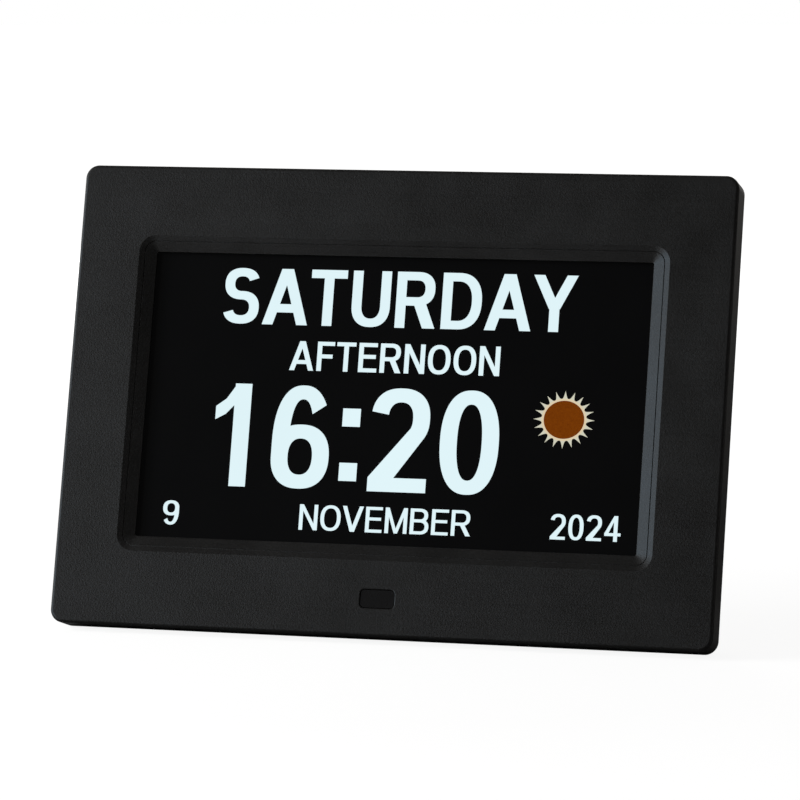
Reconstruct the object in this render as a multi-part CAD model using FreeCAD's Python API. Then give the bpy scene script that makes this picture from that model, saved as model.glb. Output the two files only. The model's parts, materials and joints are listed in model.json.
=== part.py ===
"""A day clock: a seven-inch display in a black plastic case that leans back on a fold-out leg.

Every piece is drawn in the case's own frame, in millimetres: x to the right, y from the front face towards
the back, z up along the face, with the face's centre at the origin. stand_up() then tilts the case back and
sets it on the table, so the finished frame has +Z up and its origin at the middle of the footprint.
"""

import FreeCAD
import Part
import math
import os

Vector = FreeCAD.Vector

# ---------------------------------------------------------------- case
CASE_W = 200.0  # front shell, outside width
CASE_H = 139.0  # front shell, outside height
CASE_R = 4.0  # front shell, corner radius
SHELL_DEPTH = 10.0  # depth of the front shell's side walls
FACE_T = 2.8  # thickness of the front face
WALL = 2.0  # side walls and rear cover
EDGE_ROUND = 1.0  # round edge of the front face
BORDER_ROUND = 0.4  # round edge where the face drops to the screen's border
LIP_ROUND = 0.25  # round edge at the screen opening
WINDOW_ROUND = 0.3  # round edge of the remote control window's hole
BACK_ROUND = 2.0  # round edge of the back face
TILT = 15.9  # lean of the face, in degrees
COVER_STEP = 1.2  # how far the rear cover stands in from the shell
COVER_R = 3.0  # rear cover, corner radius
RIM_DEPTH = 1.5  # how far the cover's rim reaches into the shell
RIM_T = 1.5  # thickness of that rim
FIT = 0.15  # gap between parts that plug into each other

# ---------------------------------------------------------------- screen opening
SCREEN_W = 151.8  # opening, width
SCREEN_H = 86.1  # opening, height
SCREEN_R = 0.6  # opening, corner radius
SCREEN_RAISE = 0.5  # screen centre above the face's centre
BEVEL_SIDE = 5.1  # width of the sunk border at the sides
BEVEL_END = 4.7  # width of the sunk border above and below
BEVEL_R = 5.0  # corner radius of the sunk border
BEVEL_DEPTH = 1.8  # how deep the border has sunk at the screen
STEP_W = 1.7  # width of the border's outer slope
STEP_DEPTH = 0.6  # its depth at the groove
GROOVE_W = 0.3  # groove between the two slopes
GROOVE_DEPTH = 0.25

# ---------------------------------------------------------------- display module
GASKET_T = 0.5
GASKET_W = 3.0
LCD_SIDE = 6.6  # module reaches this far past the opening, sideways
LCD_END = 6.9  # the same, above and below
LCD_T = 5.5
LCD_SHEET = 0.4  # thickness of the module's steel frame
LCD_LAND = 1.6  # steel frame starts this far outside the opening
GLASS_T = 1.4
GUIDE_T = 3.0
CLAMP_X = 66.0
CLAMP_W = 9.0
CLAMP_T = 0.8
CLAMP_LAP = 4.0  # how far a clamp reaches over the module

# ---------------------------------------------------------------- remote control window
IR_X = 0.2
IR_W = 10.4
IR_H = 5.5
IR_R = 1.3
IR_SUNK = 0.3
IR_FLANGE = 1.2
IR_FLANGE_T = 0.8
IR_BOARD_W = 28.0
IR_BOARD_EDGE = 0.5  # from the receiver's board to the cover's rim or lower wall
IR_BOARD_T = 1.2
IR_CHIP = 5.6
IR_CHIP_T = 4.0

# ---------------------------------------------------------------- screws
BOSS_R = 2.8
BOSS_WALL = 1.4
SMALL_SHANK_R = 0.9
SMALL_HEAD_R = 1.8
SMALL_HEAD_T = 1.2
SMALL_LENGTH = 4.5
COVER_SHANK_R = 1.25
COVER_HEAD_R = 2.5
COVER_HEAD_T = 1.6
COVER_LENGTH = 8.0
WELL_MARGIN = 7.0  # screw axis inside the back face's edge
WELL_REACH = 2.2  # the screw bosses meet this far behind the display module
WELL_FLOOR_T = 2.0
SCREW_PLAY = 0.3  # clearance hole, larger in radius than the shank
PILOT_PLAY = 0.05

# ---------------------------------------------------------------- main board, inside the left half
BOARD_T = 1.6
BOARD_ROOM = 6.6  # between the display module and the board, for the tall parts
BOARD_GAP = 3.4  # from the board to the back wall
BOARD_EDGE = 0.8  # from the board to the side wall
BOARD_POCKET_GAP = 5.2  # from the board to the leg's pocket
BOARD_RISE = 21.0  # board's lower edge above the case's lower edge
BOARD_HOLE = 4.0  # screw axis inside the board's edges

# sockets at the board's left edge, between its two screws: memory card, USB and DC inlet, from below
PORT_SPACING = 2.8  # between a socket and its neighbour
USB_W = 13.2
USB_T = 5.7
USB_L = 14.0
USB_SHEET = 0.4
TONGUE_T = 1.9
TONGUE_EDGE = 1.0
TONGUE_ROOT = 3.0
DC_W = 7.0
DC_T = 5.6
DC_L = 11.0
DC_BORE_R = 1.8
DC_PIN_R = 0.65
DC_PIN_SUNK = 1.0
DC_NOSE_R = 2.7
CARD_W = 27.0
CARD_T = 3.2
CARD_L = 28.0
CARD_SLOT_W = 24.4
CARD_SLOT_T = 2.2
PORT_PLAY = 0.25

# parts on the board's front: (share of its width, share of its height, width, height, thickness)
PROCESSOR = (0.60, 0.68, 14.0, 14.0, 1.4)
MEMORY_CHIP = (0.83, 0.66, 8.0, 11.0, 1.2)
REGULATOR = (0.36, 0.62, 5.0, 6.0, 1.6)
AMPLIFIER = (0.47, 0.83, 5.0, 5.0, 1.6)
INDUCTOR = (0.36, 0.76, 6.0, 6.0, 3.0)
CRYSTAL = (0.84, 0.49, 10.5, 4.4, 3.2)
CAN_BASE = 6.0
CAN_BASE_T = 1.0
CAN_R = 2.8
CAN_T = 5.2
CANS = [(0.25, 0.80), (0.25, 0.68), (0.50, 0.51)]
COIN_UP = 0.23  # share of the board's height
COIN_R = 10.0
COIN_T = 3.2
HOLDER_W = 23.0
HOLDER_T = 4.2
HOLDER_R = 4.0
HOLDER_GAP = 1.4  # from the holder to the receiver's leads
RIBBON_T = 0.3
SOCKET_H = 4.5
SOCKET_T = 2.4
SOCKET_UP = 0.91  # both ribbon sockets, share of the board's height
LCD_RIBBON_W = 22.0
LCD_RIBBON_ACROSS = 0.43
KEY_RIBBON_W = 7.0
RIBBON_SPACING = 2.6  # between the two ribbons' sockets
SOCKET_RIM = 2.0  # a socket is this much wider than its ribbon at each end
RIBBON_LAP = 10.0  # how much of the display's ribbon lies flat on the module

# ---------------------------------------------------------------- keys, in a row along the top of the back
KEYS = ["power", "menu", "up", "down", "left", "right", "ok"]
KEY_PITCH = 14.0
KEY_DROP = 17.5  # key row below the case's upper edge
KEY_W = 9.0
KEY_H = 6.0
KEY_PROUD = 1.2
KEY_PLAY = 0.3
KEY_FLANGE = 1.0
KEY_FLANGE_T = 1.0
KEY_TRAVEL = 0.6
KEY_ROUND = 0.5
SWITCH_W = 6.0
SWITCH_T = 3.2
SWITCH_GAP = 0.9  # from the key's flange to the switch, more than the travel
PLUNGER_R = 1.7
PLUNGER_SINK = 0.8
KEYBOARD_H = 13.0
KEYBOARD_END = 2.5  # from a screw's axis to the board's end
KEYBOARD_T = 1.6

# ---------------------------------------------------------------- loudspeaker, inside the right half
SPEAKER_X = 57.0
SPEAKER_RISE = 54.0  # above the case's lower edge
SPEAKER_R = 18.0
SPEAKER_FLANGE_T = 1.0
SPEAKER_CUP_R = 15.5
SPEAKER_CUP_T = 3.0
SPEAKER_SHEET = 0.6
MAGNET_R = 9.0
MAGNET_T = 3.5
SEAT_H = 3.0
SEAT_T = 1.5
GRILLE_R = 1.0
GRILLE_PITCH = 4.0
GRILLE_RINGS = 3
SPEAKER_LEAD_R = 0.6
IR_LEAD_R = 0.5
LEAD_SPACING = 1.6
SPEAKER_LEAD_END = (0.94, 0.42)  # shares of the main board's width and height
IR_LEAD_EDGE = 6.2  # the middle lead's end from the main board's right edge
IR_LEAD_UP = 0.12  # share of the board's height

# ---------------------------------------------------------------- stand
PIVOT_RISE = 89.5  # hinge axis above the case's lower edge
PIN_R = 1.25
PIN_PLAY = 0.08
EAR_T = 3.0
LEG_W = 33.0
LEG_TIP_W = 27.0
LEG_T = 4.6
LEG_SUNK = 0.4  # folded leg below the back face
LEG_SPLAY = 17.6  # lean of the open leg from the vertical, in degrees
BARREL_R = 2.6
LEG_GAP = 0.5
POCKET_SIDE = 1.0
HEEL = 4.4
STOP_GAP = 0.3
PAD_T = 2.0
PAD_INSET = 1.2
LEG_PANEL_INSET = 4.0
LEG_PANEL_R = 2.0
LEG_PANEL_DEPTH = 1.0

# ---------------------------------------------------------------- hanging slots and vents
HANG_X = 60.0
HANG_RISE = 97.0
HANG_R = 4.0
HANG_NECK_R = 2.0
HANG_SLOT = 8.0
VENT_W = 1.6
VENT_L = 15.0
VENT_PITCH = 5.0
VENT_COUNT = 9
VENT_RISE = 72.0

# ---------------------------------------------------------------- places that follow from the sizes above
COS_TILT = math.cos(math.radians(TILT))
SIN_TILT = math.sin(math.radians(TILT))
BOTTOM = -CASE_H / 2
TOP = CASE_H / 2
LCD_W = SCREEN_W + 2 * LCD_SIDE
LCD_H = SCREEN_H + 2 * LCD_END
LCD_FRONT = FACE_T + GASKET_T
LCD_BACK = LCD_FRONT + LCD_T
GLASS_FRONT = LCD_FRONT + LCD_SHEET
BOARD_FRONT = LCD_BACK + BOARD_ROOM
BOARD_BACK = BOARD_FRONT + BOARD_T
BOARD_BOTTOM = BOTTOM + BOARD_RISE
CARD_Z = BOARD_BOTTOM + BOARD_HOLE + SMALL_HEAD_R + PORT_SPACING + CARD_W / 2
USB_Z = CARD_Z + CARD_W / 2 + PORT_SPACING + USB_W / 2
DC_Z = USB_Z + USB_W / 2 + PORT_SPACING + DC_W / 2
BOARD_H = DC_Z + DC_W / 2 + PORT_SPACING + SMALL_HEAD_R + BOARD_HOLE - BOARD_BOTTOM
BACK_INNER = BOARD_BACK + BOARD_GAP
CASE_DEPTH = BACK_INNER + WALL
WELL_FLOOR = LCD_BACK + WELL_REACH
FLOOR_LEVEL = BOTTOM * COS_TILT - SHELL_DEPTH * SIN_TILT
KEY_Z = TOP - KEY_DROP
KEY_FLANGE_BACK = BACK_INNER - KEY_PLAY
SWITCH_BACK = KEY_FLANGE_BACK - KEY_FLANGE_T - SWITCH_GAP
KEYBOARD_BACK = SWITCH_BACK - SWITCH_T
KEYBOARD_FRONT = KEYBOARD_BACK - KEYBOARD_T
SPEAKER_Z = BOTTOM + SPEAKER_RISE
IR_Z = (BOTTOM + WALL + SCREEN_RAISE - LCD_H / 2) / 2
IR_CHIP_FRONT = FACE_T + IR_FLANGE_T + KEY_PLAY
IR_BOARD_FRONT = IR_CHIP_FRONT + IR_CHIP_T
PIVOT_Z = BOTTOM + PIVOT_RISE
PIVOT_Y = CASE_DEPTH - LEG_SUNK - LEG_T / 2
POCKET_FLOOR = PIVOT_Y - BARREL_R - LEG_GAP
POCKET_W = LEG_W + 2 * POCKET_SIDE
POCKET_TOP = PIVOT_Z + HEEL + 2 * LEG_GAP
PIVOT_HEIGHT = PIVOT_Z * COS_TILT - PIVOT_Y * SIN_TILT - FLOOR_LEVEL
LEG_LENGTH = PIVOT_HEIGHT / math.cos(math.radians(LEG_SPLAY))
LEG_OPEN = TILT + LEG_SPLAY
FOOT_Y = PIVOT_Y * COS_TILT + PIVOT_Z * SIN_TILT + PIVOT_HEIGHT * math.tan(math.radians(LEG_SPLAY))
FRONT_Y = EDGE_ROUND * COS_TILT + (BOTTOM + EDGE_ROUND) * SIN_TILT - EDGE_ROUND
PAD_L = LEG_T / math.cos(math.radians(LEG_SPLAY))
BACK_Y = FOOT_Y + PAD_L / 2
MIDDLE_Y = (FRONT_Y + BACK_Y) / 2
HANG_Z = BOTTOM + HANG_RISE
VENT_Z = BOTTOM + VENT_RISE


# ---------------------------------------------------------------- shapes that repeat
def block(x0, x1, y0, y1, z0, z1):
    """A box between two x, two y and two z planes."""
    return Part.makeBox(x1 - x0, y1 - y0, z1 - z0, Vector(x0, y0, z0))


def centred_block(x, z, width, height, y0, y1):
    """A box centred at x and z, from depth y0 to y1."""
    return block(x - width / 2, x + width / 2, y0, y1, z - height / 2, z + height / 2)


def rounded_outline(width, height, radius, y, x=0.0, z=0.0):
    """A rectangle with round corners, standing in the plane at depth y."""
    radius = min(radius, 0.49 * width, 0.49 * height)
    centres = [(1, 1), (-1, 1), (-1, -1), (1, -1)]
    corners = []
    for turn, (side, end) in enumerate(centres):
        cx = x + side * (width / 2 - radius)
        cz = z + end * (height / 2 - radius)
        points = []
        for angle in (90 * turn, 90 * turn + 45, 90 * turn + 90):
            a = math.radians(angle)
            points.append(Vector(cx + radius * math.cos(a), y, cz + radius * math.sin(a)))
        corners.append(points)
    edges = []
    for turn, points in enumerate(corners):
        edges.append(Part.Arc(*points).toShape())
        edges.append(Part.LineSegment(points[2], corners[(turn + 1) % 4][0]).toShape())
    return Part.Wire(edges)


def rounded_plate(width, height, radius, y0, y1, x=0.0, z=0.0):
    """A plate with round corners, from depth y0 to y1."""
    outline = rounded_outline(width, height, radius, y0, x, z)
    return Part.Face(outline).extrude(Vector(0, y1 - y0, 0))


def sloped_plate(first, second):
    """A solid that runs from one rounded outline to another, each given as rounded_outline's arguments."""
    return Part.makeLoft([rounded_outline(*first), rounded_outline(*second)], True, True)


def disc(x, z, radius, y0, y1):
    """A cylinder along the depth."""
    return Part.makeCylinder(radius, y1 - y0, Vector(x, y0, z), Vector(0, 1, 0))


def boss(x, z, y0, y1, shank_r):
    """A screw boss with its pilot hole."""
    return disc(x, z, BOSS_R, y0, y1).cut(disc(x, z, shank_r + PILOT_PLAY, y0, y1))


def screw(x, z, head_y, towards, shank_r, head_r, head_t, length):
    """A pan-head screw with a cross slot; its head stands on head_y and its shank points towards +1 or -1."""
    head = Part.makeCylinder(head_r, head_t, Vector(x, head_y, z), Vector(0, -towards, 0))
    top = head_y - towards * head_t
    head = head.makeFillet(0.4 * head_t, edges_at_depth(head, top))
    shank = Part.makeCylinder(shank_r, length, Vector(x, head_y, z), Vector(0, towards, 0))
    slot_bottom = top + towards * 0.6 * head_t
    low, high = min(top, slot_bottom), max(top, slot_bottom)
    slot_w = 0.3 * head_r
    cross = centred_block(x, z, 1.2 * head_r, slot_w, low, high)
    cross = cross.fuse(centred_block(x, z, slot_w, 1.2 * head_r, low, high))
    return head.fuse(shank).cut(cross).removeSplitter()


def small_screw(x, z, head_y, towards):
    return screw(x, z, head_y, towards, SMALL_SHANK_R, SMALL_HEAD_R, SMALL_HEAD_T, SMALL_LENGTH)


def edges_at_depth(shape, y):
    """The edges of a shape that lie in the plane at depth y."""
    return [edge for edge in shape.Edges
            if abs(edge.BoundBox.YMin - y) < 0.01 and abs(edge.BoundBox.YMax - y) < 0.01]


def cover_half(y, inset=0.0):
    """Half the rear cover's width and height at depth y, less an inset."""
    shrink = COVER_STEP + (y - SHELL_DEPTH) * math.tan(math.radians(TILT)) + inset
    return CASE_W / 2 - shrink, CASE_H / 2 - shrink


def cover_block(y0, y1, inset):
    """The tapered block inside the rear cover's outline."""
    half_w0, half_h0 = cover_half(y0, inset)
    half_w1, half_h1 = cover_half(y1, inset)
    radius = max(COVER_R - inset, 0.5)
    return sloped_plate((2 * half_w0, 2 * half_h0, radius, y0), (2 * half_w1, 2 * half_h1, radius, y1))


def lead(points, radius):
    """A round wire along straight runs joined by arcs that touch them."""
    points = [Vector(*point) for point in points]
    edges = []
    start = points[0]
    for before, corner, after in zip(points, points[1:], points[2:]):
        back = (before - corner).normalize()
        ahead = (after - corner).normalize()
        reach = 0.45 * min((before - corner).Length, (after - corner).Length)
        half_turn = (math.pi - back.getAngle(ahead)) / 2
        bend = reach / math.tan(half_turn)
        centre = corner + (back + ahead).normalize() * (bend / math.cos(half_turn))
        middle = centre + (corner - centre).normalize() * bend
        edges.append(Part.LineSegment(start, corner + back * reach).toShape())
        edges.append(Part.Arc(corner + back * reach, middle, corner + ahead * reach).toShape())
        start = corner + ahead * reach
    edges.append(Part.LineSegment(start, points[-1]).toShape())
    path = Part.Wire(edges)
    ring = Part.Wire(Part.makeCircle(radius, points[0], points[1] - points[0]))
    return path.makePipeShell([ring], True, True)


def ribbon(x, width, thickness, profile):
    """A flat cable that follows a profile of (y, z) points, drawn as its middle line."""
    sides = []
    for side in (-1, 1):
        line = []
        for index, (y, z) in enumerate(profile):
            near = profile[max(index - 1, 0)]
            far = profile[min(index + 1, len(profile) - 1)]
            along = math.hypot(far[0] - near[0], far[1] - near[1])
            across = ((far[1] - near[1]) / along, -(far[0] - near[0]) / along)
            line.append(Vector(x - width / 2, y + side * thickness / 2 * across[0],
                               z + side * thickness / 2 * across[1]))
        sides.append(line)
    outline = Part.makePolygon(sides[0] + sides[1][::-1] + sides[0][:1])
    return Part.Face(outline).extrude(Vector(width, 0, 0))


# ---------------------------------------------------------------- places of fasteners and parts
def well_places():
    half_w, half_h = cover_half(CASE_DEPTH)
    x = half_w - WELL_MARGIN
    z = half_h - WELL_MARGIN
    return [(x, z), (-x, z), (-x, -z), (x, -z)]


def clamp_places():
    z = LCD_H / 2 + BOSS_R + FIT
    return [(side * CLAMP_X, SCREEN_RAISE + end * z, end) for side in (-1, 1) for end in (-1, 1)]


def board_left():
    """The main board's left edge, just inside the side wall."""
    return -(cover_half(BOARD_BACK, WALL)[0] - BOARD_EDGE)


def board_width():
    """The main board reaches from the side wall almost to the leg's pocket."""
    return -(POCKET_W / 2 + WALL + BOARD_POCKET_GAP) - board_left()


def board_screw_places():
    left = board_left() + BOARD_HOLE
    right = board_left() + board_width() - BOARD_HOLE
    low = BOARD_BOTTOM + BOARD_HOLE
    high = BOARD_BOTTOM + BOARD_H - BOARD_HOLE
    return [(left, low), (left, high), (right, low), (right, high)]


def key_places():
    first = -(len(KEYS) - 1) / 2 * KEY_PITCH
    return [(name, first + index * KEY_PITCH) for index, name in enumerate(KEYS)]


def keyboard_screw_places():
    x = key_places()[-1][1] + KEY_W / 2 + KEY_FLANGE + KEY_PLAY + BOSS_R
    return [(-x, KEY_Z), (x, KEY_Z)]


def ir_board_height():
    """The receiver's board is centred on the window and reaches almost to the cover's rim or lower wall."""
    lower_wall = -cover_half(IR_BOARD_FRONT + IR_BOARD_T, WALL)[1]
    lower_rim = BOTTOM + WALL + FIT + RIM_T
    return 2 * (IR_Z - max(lower_wall, lower_rim) - IR_BOARD_EDGE)


def ir_screw_places():
    x = IR_BOARD_W / 2 - BOSS_R
    return [(IR_X - x, IR_Z), (IR_X + x, IR_Z)]


def port_mouth():
    """The x at which the sockets' mouths lie, just inside the wall's outer face at its narrowest."""
    return -(cover_half(BOARD_FRONT)[0] - PORT_PLAY)


# ---------------------------------------------------------------- front shell
def front_bezel():
    shell = rounded_plate(CASE_W, CASE_H, CASE_R, 0, SHELL_DEPTH)
    shell = shell.makeFillet(EDGE_ROUND, edges_at_depth(shell, 0))
    inner_r = max(CASE_R - WALL, 0.5)
    shell = shell.cut(rounded_plate(CASE_W - 2 * WALL, CASE_H - 2 * WALL, inner_r, FACE_T, SHELL_DEPTH))
    additions = [boss(x, z, FACE_T, WELL_FLOOR, COVER_SHANK_R) for x, z in well_places()]
    additions += [boss(x, z, FACE_T, LCD_BACK, SMALL_SHANK_R) for x, z, end in clamp_places()]
    additions += [boss(x, z, FACE_T, IR_BOARD_FRONT, SMALL_SHANK_R) for x, z in ir_screw_places()]
    additions += locating_ribs()
    shell = shell.fuse(additions)
    for tool in screen_cuts():
        shell = shell.cut(tool)
    shell = shell.cut(rounded_plate(IR_W, IR_H, IR_R, 0, FACE_T, IR_X, IR_Z)).removeSplitter()
    shell = shell.makeFillet(BORDER_ROUND, border_edges(shell))
    shell = shell.makeFillet(LIP_ROUND, edges_at_depth(shell, BEVEL_DEPTH))
    return shell.makeFillet(WINDOW_ROUND, window_edges(shell))


def border_edges(shell):
    """The edges where the face drops to the screen's border."""
    half_w = SCREEN_W / 2 + BEVEL_SIDE
    half_h = SCREEN_H / 2 + BEVEL_END
    edges = edges_at_depth(shell, 0)
    return [edge for edge in edges if abs(edge.BoundBox.Center.x) < half_w + BORDER_ROUND
            and abs(edge.BoundBox.Center.z - SCREEN_RAISE) < half_h + BORDER_ROUND]


def window_edges(shell):
    """The front edges of the remote control window's hole."""
    edges = edges_at_depth(shell, 0)
    return [edge for edge in edges if abs(edge.BoundBox.Center.x - IR_X) < IR_W
            and abs(edge.BoundBox.Center.z - IR_Z) < IR_H]


def locating_ribs():
    """Short ribs behind the face that hold the display module in place, two on each side."""
    rib_l = 12.0
    rib_t = 1.2
    rib_h = 3.0
    ribs = []
    for side in (-1, 1):
        for along in (-1, 1):
            x = side * (LCD_W / 2 + FIT + rib_t / 2)
            z = SCREEN_RAISE + along * (LCD_H / 2 - 2 * rib_l)
            ribs.append(centred_block(x, z, rib_t, rib_l, FACE_T, FACE_T + rib_h))
            x = along * (LCD_W / 2 - 3 * rib_l)
            z = SCREEN_RAISE + side * (LCD_H / 2 + FIT + rib_t / 2)
            ribs.append(centred_block(x, z, rib_l, rib_t, FACE_T, FACE_T + rib_h))
    return ribs


def screen_cuts():
    """The sunk border round the screen: an outer slope, a groove, an inner slope and the opening."""
    def border(inset, radius, y):
        width = SCREEN_W + 2 * (BEVEL_SIDE - inset)
        height = SCREEN_H + 2 * (BEVEL_END - inset)
        return width, height, radius, y, 0.0, SCREEN_RAISE

    opening = (SCREEN_W, SCREEN_H, SCREEN_R)
    step_r = BEVEL_R - STEP_W
    outer_slope = sloped_plate(border(0, BEVEL_R, 0), border(STEP_W, step_r, STEP_DEPTH))
    inner_slope = sloped_plate(border(STEP_W, step_r, STEP_DEPTH),
                               opening + (BEVEL_DEPTH, 0.0, SCREEN_RAISE))
    window = rounded_plate(*opening, BEVEL_DEPTH, FACE_T, 0.0, SCREEN_RAISE)
    wide = border(STEP_W - GROOVE_W / 2, step_r + GROOVE_W / 2, 0)[:3]
    narrow = border(STEP_W + GROOVE_W / 2, step_r - GROOVE_W / 2, 0)[:3]
    bottom = STEP_DEPTH + GROOVE_DEPTH
    groove = rounded_plate(*wide, 0, bottom, 0.0, SCREEN_RAISE)
    groove = groove.cut(rounded_plate(*narrow, 0, bottom, 0.0, SCREEN_RAISE))
    return [outer_slope, inner_slope, window, groove]


def ir_window():
    plug = rounded_plate(IR_W - 2 * FIT, IR_H - 2 * FIT, IR_R - FIT, IR_SUNK, FACE_T, IR_X, IR_Z)
    flange = rounded_plate(IR_W + 2 * IR_FLANGE, IR_H + 2 * IR_FLANGE, IR_R, FACE_T,
                           FACE_T + IR_FLANGE_T, IR_X, IR_Z)
    return plug.fuse(flange).removeSplitter()


# ---------------------------------------------------------------- display module
def screen_gasket():
    inner = (SCREEN_W + 2 * LCD_LAND, SCREEN_H + 2 * LCD_LAND, SCREEN_R)
    outer = (inner[0] + 2 * GASKET_W, inner[1] + 2 * GASKET_W, SCREEN_R + GASKET_W)
    ring = rounded_plate(*outer, FACE_T, LCD_FRONT, 0.0, SCREEN_RAISE)
    return ring.cut(rounded_plate(*inner, FACE_T, LCD_FRONT, 0.0, SCREEN_RAISE))


def lcd_frame():
    """The module's folded steel frame, open at the front over the glass and closed at the back."""
    frame = rounded_plate(LCD_W, LCD_H, 0.8, LCD_FRONT, LCD_BACK, 0.0, SCREEN_RAISE)
    hollow = rounded_plate(LCD_W - 2 * LCD_SHEET, LCD_H - 2 * LCD_SHEET, 0.4, GLASS_FRONT,
                           LCD_BACK - LCD_SHEET, 0.0, SCREEN_RAISE)
    opening = rounded_plate(SCREEN_W + 2 * LCD_LAND, SCREEN_H + 2 * LCD_LAND, 0.4, LCD_FRONT,
                            GLASS_FRONT, 0.0, SCREEN_RAISE)
    return frame.cut(hollow).cut(opening)


def lcd_glass():
    return rounded_plate(LCD_W - 2 * LCD_SHEET - 2 * FIT, LCD_H - 2 * LCD_SHEET - 2 * FIT, 0.4, GLASS_FRONT,
                         GLASS_FRONT + GLASS_T, 0.0, SCREEN_RAISE)


def light_guide():
    front = GLASS_FRONT + GLASS_T
    return rounded_plate(LCD_W - 2 * LCD_SHEET - 2 * FIT, LCD_H - 2 * LCD_SHEET - 2 * FIT, 0.4, front,
                         front + GUIDE_T, 0.0, SCREEN_RAISE)


def lcd_clamps():
    clamps = []
    for x, z, end in clamp_places():
        far = z + end * BOSS_R
        near = SCREEN_RAISE + end * (LCD_H / 2 - CLAMP_LAP)
        plate = block(x - CLAMP_W / 2, x + CLAMP_W / 2, LCD_BACK, LCD_BACK + CLAMP_T, min(far, near),
                      max(far, near))
        clamps.append(plate.cut(disc(x, z, SMALL_SHANK_R + SCREW_PLAY, LCD_BACK, LCD_BACK + CLAMP_T)))
    return Part.makeCompound(clamps)


def lcd_clamp_screws():
    return Part.makeCompound([small_screw(x, z, LCD_BACK + CLAMP_T, -1) for x, z, end in clamp_places()])


# ---------------------------------------------------------------- rear cover
def rear_cover():
    solid = cover_block(SHELL_DEPTH, CASE_DEPTH, 0)
    solid = solid.makeFillet(BACK_ROUND, edges_at_depth(solid, CASE_DEPTH))
    cover = solid.cut(cover_block(SHELL_DEPTH, BACK_INNER, WALL))
    cover = cover.fuse([rim()] + [part.common(solid) for part in cover_fittings()])
    for tool in cover_cuts():
        cover = cover.cut(tool)
    return cover.removeSplitter()


def rim():
    """The lip that plugs into the front shell."""
    outer_w = CASE_W - 2 * WALL - 2 * FIT
    outer_h = CASE_H - 2 * WALL - 2 * FIT
    radius = max(CASE_R - WALL, 0.5)
    y0 = SHELL_DEPTH - RIM_DEPTH
    y1 = SHELL_DEPTH + RIM_DEPTH
    ring = rounded_plate(outer_w, outer_h, radius, y0, y1)
    return ring.cut(rounded_plate(outer_w - 2 * RIM_T, outer_h - 2 * RIM_T, radius, y0, y1))


def cover_fittings():
    """What the cover carries inside: screw wells, bosses, the speaker's seat and the leg's pocket."""
    well_r = COVER_HEAD_R + SCREW_PLAY + BOSS_WALL
    fittings = [disc(x, z, well_r, WELL_FLOOR, CASE_DEPTH - FIT) for x, z in well_places()]
    fittings += [disc(x, z, BOSS_R, BOARD_BACK, BACK_INNER + FIT) for x, z in board_screw_places()]
    fittings += [disc(x, z, BOSS_R, KEYBOARD_BACK, BACK_INNER + FIT) for x, z in keyboard_screw_places()]
    seat = disc(SPEAKER_X, SPEAKER_Z, SPEAKER_R + FIT + SEAT_T, BACK_INNER - SEAT_H, BACK_INNER + FIT)
    seat = seat.cut(disc(SPEAKER_X, SPEAKER_Z, SPEAKER_R + FIT, BACK_INNER - SEAT_H, BACK_INNER + FIT))
    fittings.append(seat)
    half = POCKET_W / 2 + WALL
    fittings.append(block(-half, half, POCKET_FLOOR - WALL, CASE_DEPTH, BOTTOM, POCKET_TOP + WALL))
    for side in (-1, 1):
        start = Vector(side * POCKET_W / 2, PIVOT_Y, PIVOT_Z)
        fittings.append(Part.makeCylinder(PIN_R + WALL, EAR_T + WALL, start, Vector(side, 0, 0)))
    return fittings


def cover_cuts():
    """What is cut through the cover, each tool a solid."""
    cuts = []
    for x, z in well_places():
        cuts.append(disc(x, z, COVER_HEAD_R + SCREW_PLAY, WELL_FLOOR + WELL_FLOOR_T, CASE_DEPTH))
        cuts.append(disc(x, z, COVER_SHANK_R + SCREW_PLAY, WELL_FLOOR, CASE_DEPTH))
    for x, z in board_screw_places():
        cuts.append(disc(x, z, SMALL_SHANK_R + PILOT_PLAY, BOARD_BACK, BACK_INNER))
    for x, z in keyboard_screw_places():
        cuts.append(disc(x, z, SMALL_SHANK_R + PILOT_PLAY, KEYBOARD_BACK, BACK_INNER))
    for name, x in key_places():
        cuts.append(rounded_plate(KEY_W + 2 * KEY_PLAY, KEY_H + 2 * KEY_PLAY, KEY_H / 2 + KEY_PLAY,
                                  BACK_INNER, CASE_DEPTH, x, KEY_Z))
    half = POCKET_W / 2
    cuts.append(block(-half, half, POCKET_FLOOR, CASE_DEPTH, BOTTOM, POCKET_TOP))
    pin_half = half + EAR_T
    cuts.append(Part.makeCylinder(PIN_R + PILOT_PLAY, 2 * pin_half, Vector(-pin_half, PIVOT_Y, PIVOT_Z),
                                  Vector(1, 0, 0)))
    return cuts + port_cuts() + grille_cuts() + vent_cuts() + hanging_cuts()


def port_cuts():
    outside = -CASE_W / 2
    inside = board_left() + WALL
    usb_y = BOARD_FRONT - USB_T / 2
    usb = block(outside, inside, usb_y - USB_T / 2 - PORT_PLAY, BOARD_FRONT + PORT_PLAY,
                USB_Z - USB_W / 2 - PORT_PLAY, USB_Z + USB_W / 2 + PORT_PLAY)
    card = block(outside, inside, BOARD_FRONT - CARD_T - PORT_PLAY, BOARD_FRONT + PORT_PLAY,
                 CARD_Z - CARD_W / 2 - PORT_PLAY, CARD_Z + CARD_W / 2 + PORT_PLAY)
    nose = Part.makeCylinder(DC_NOSE_R + PORT_PLAY, inside - outside,
                             Vector(outside, BOARD_FRONT - DC_T / 2, DC_Z), Vector(1, 0, 0))
    return [usb, card, nose]


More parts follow.
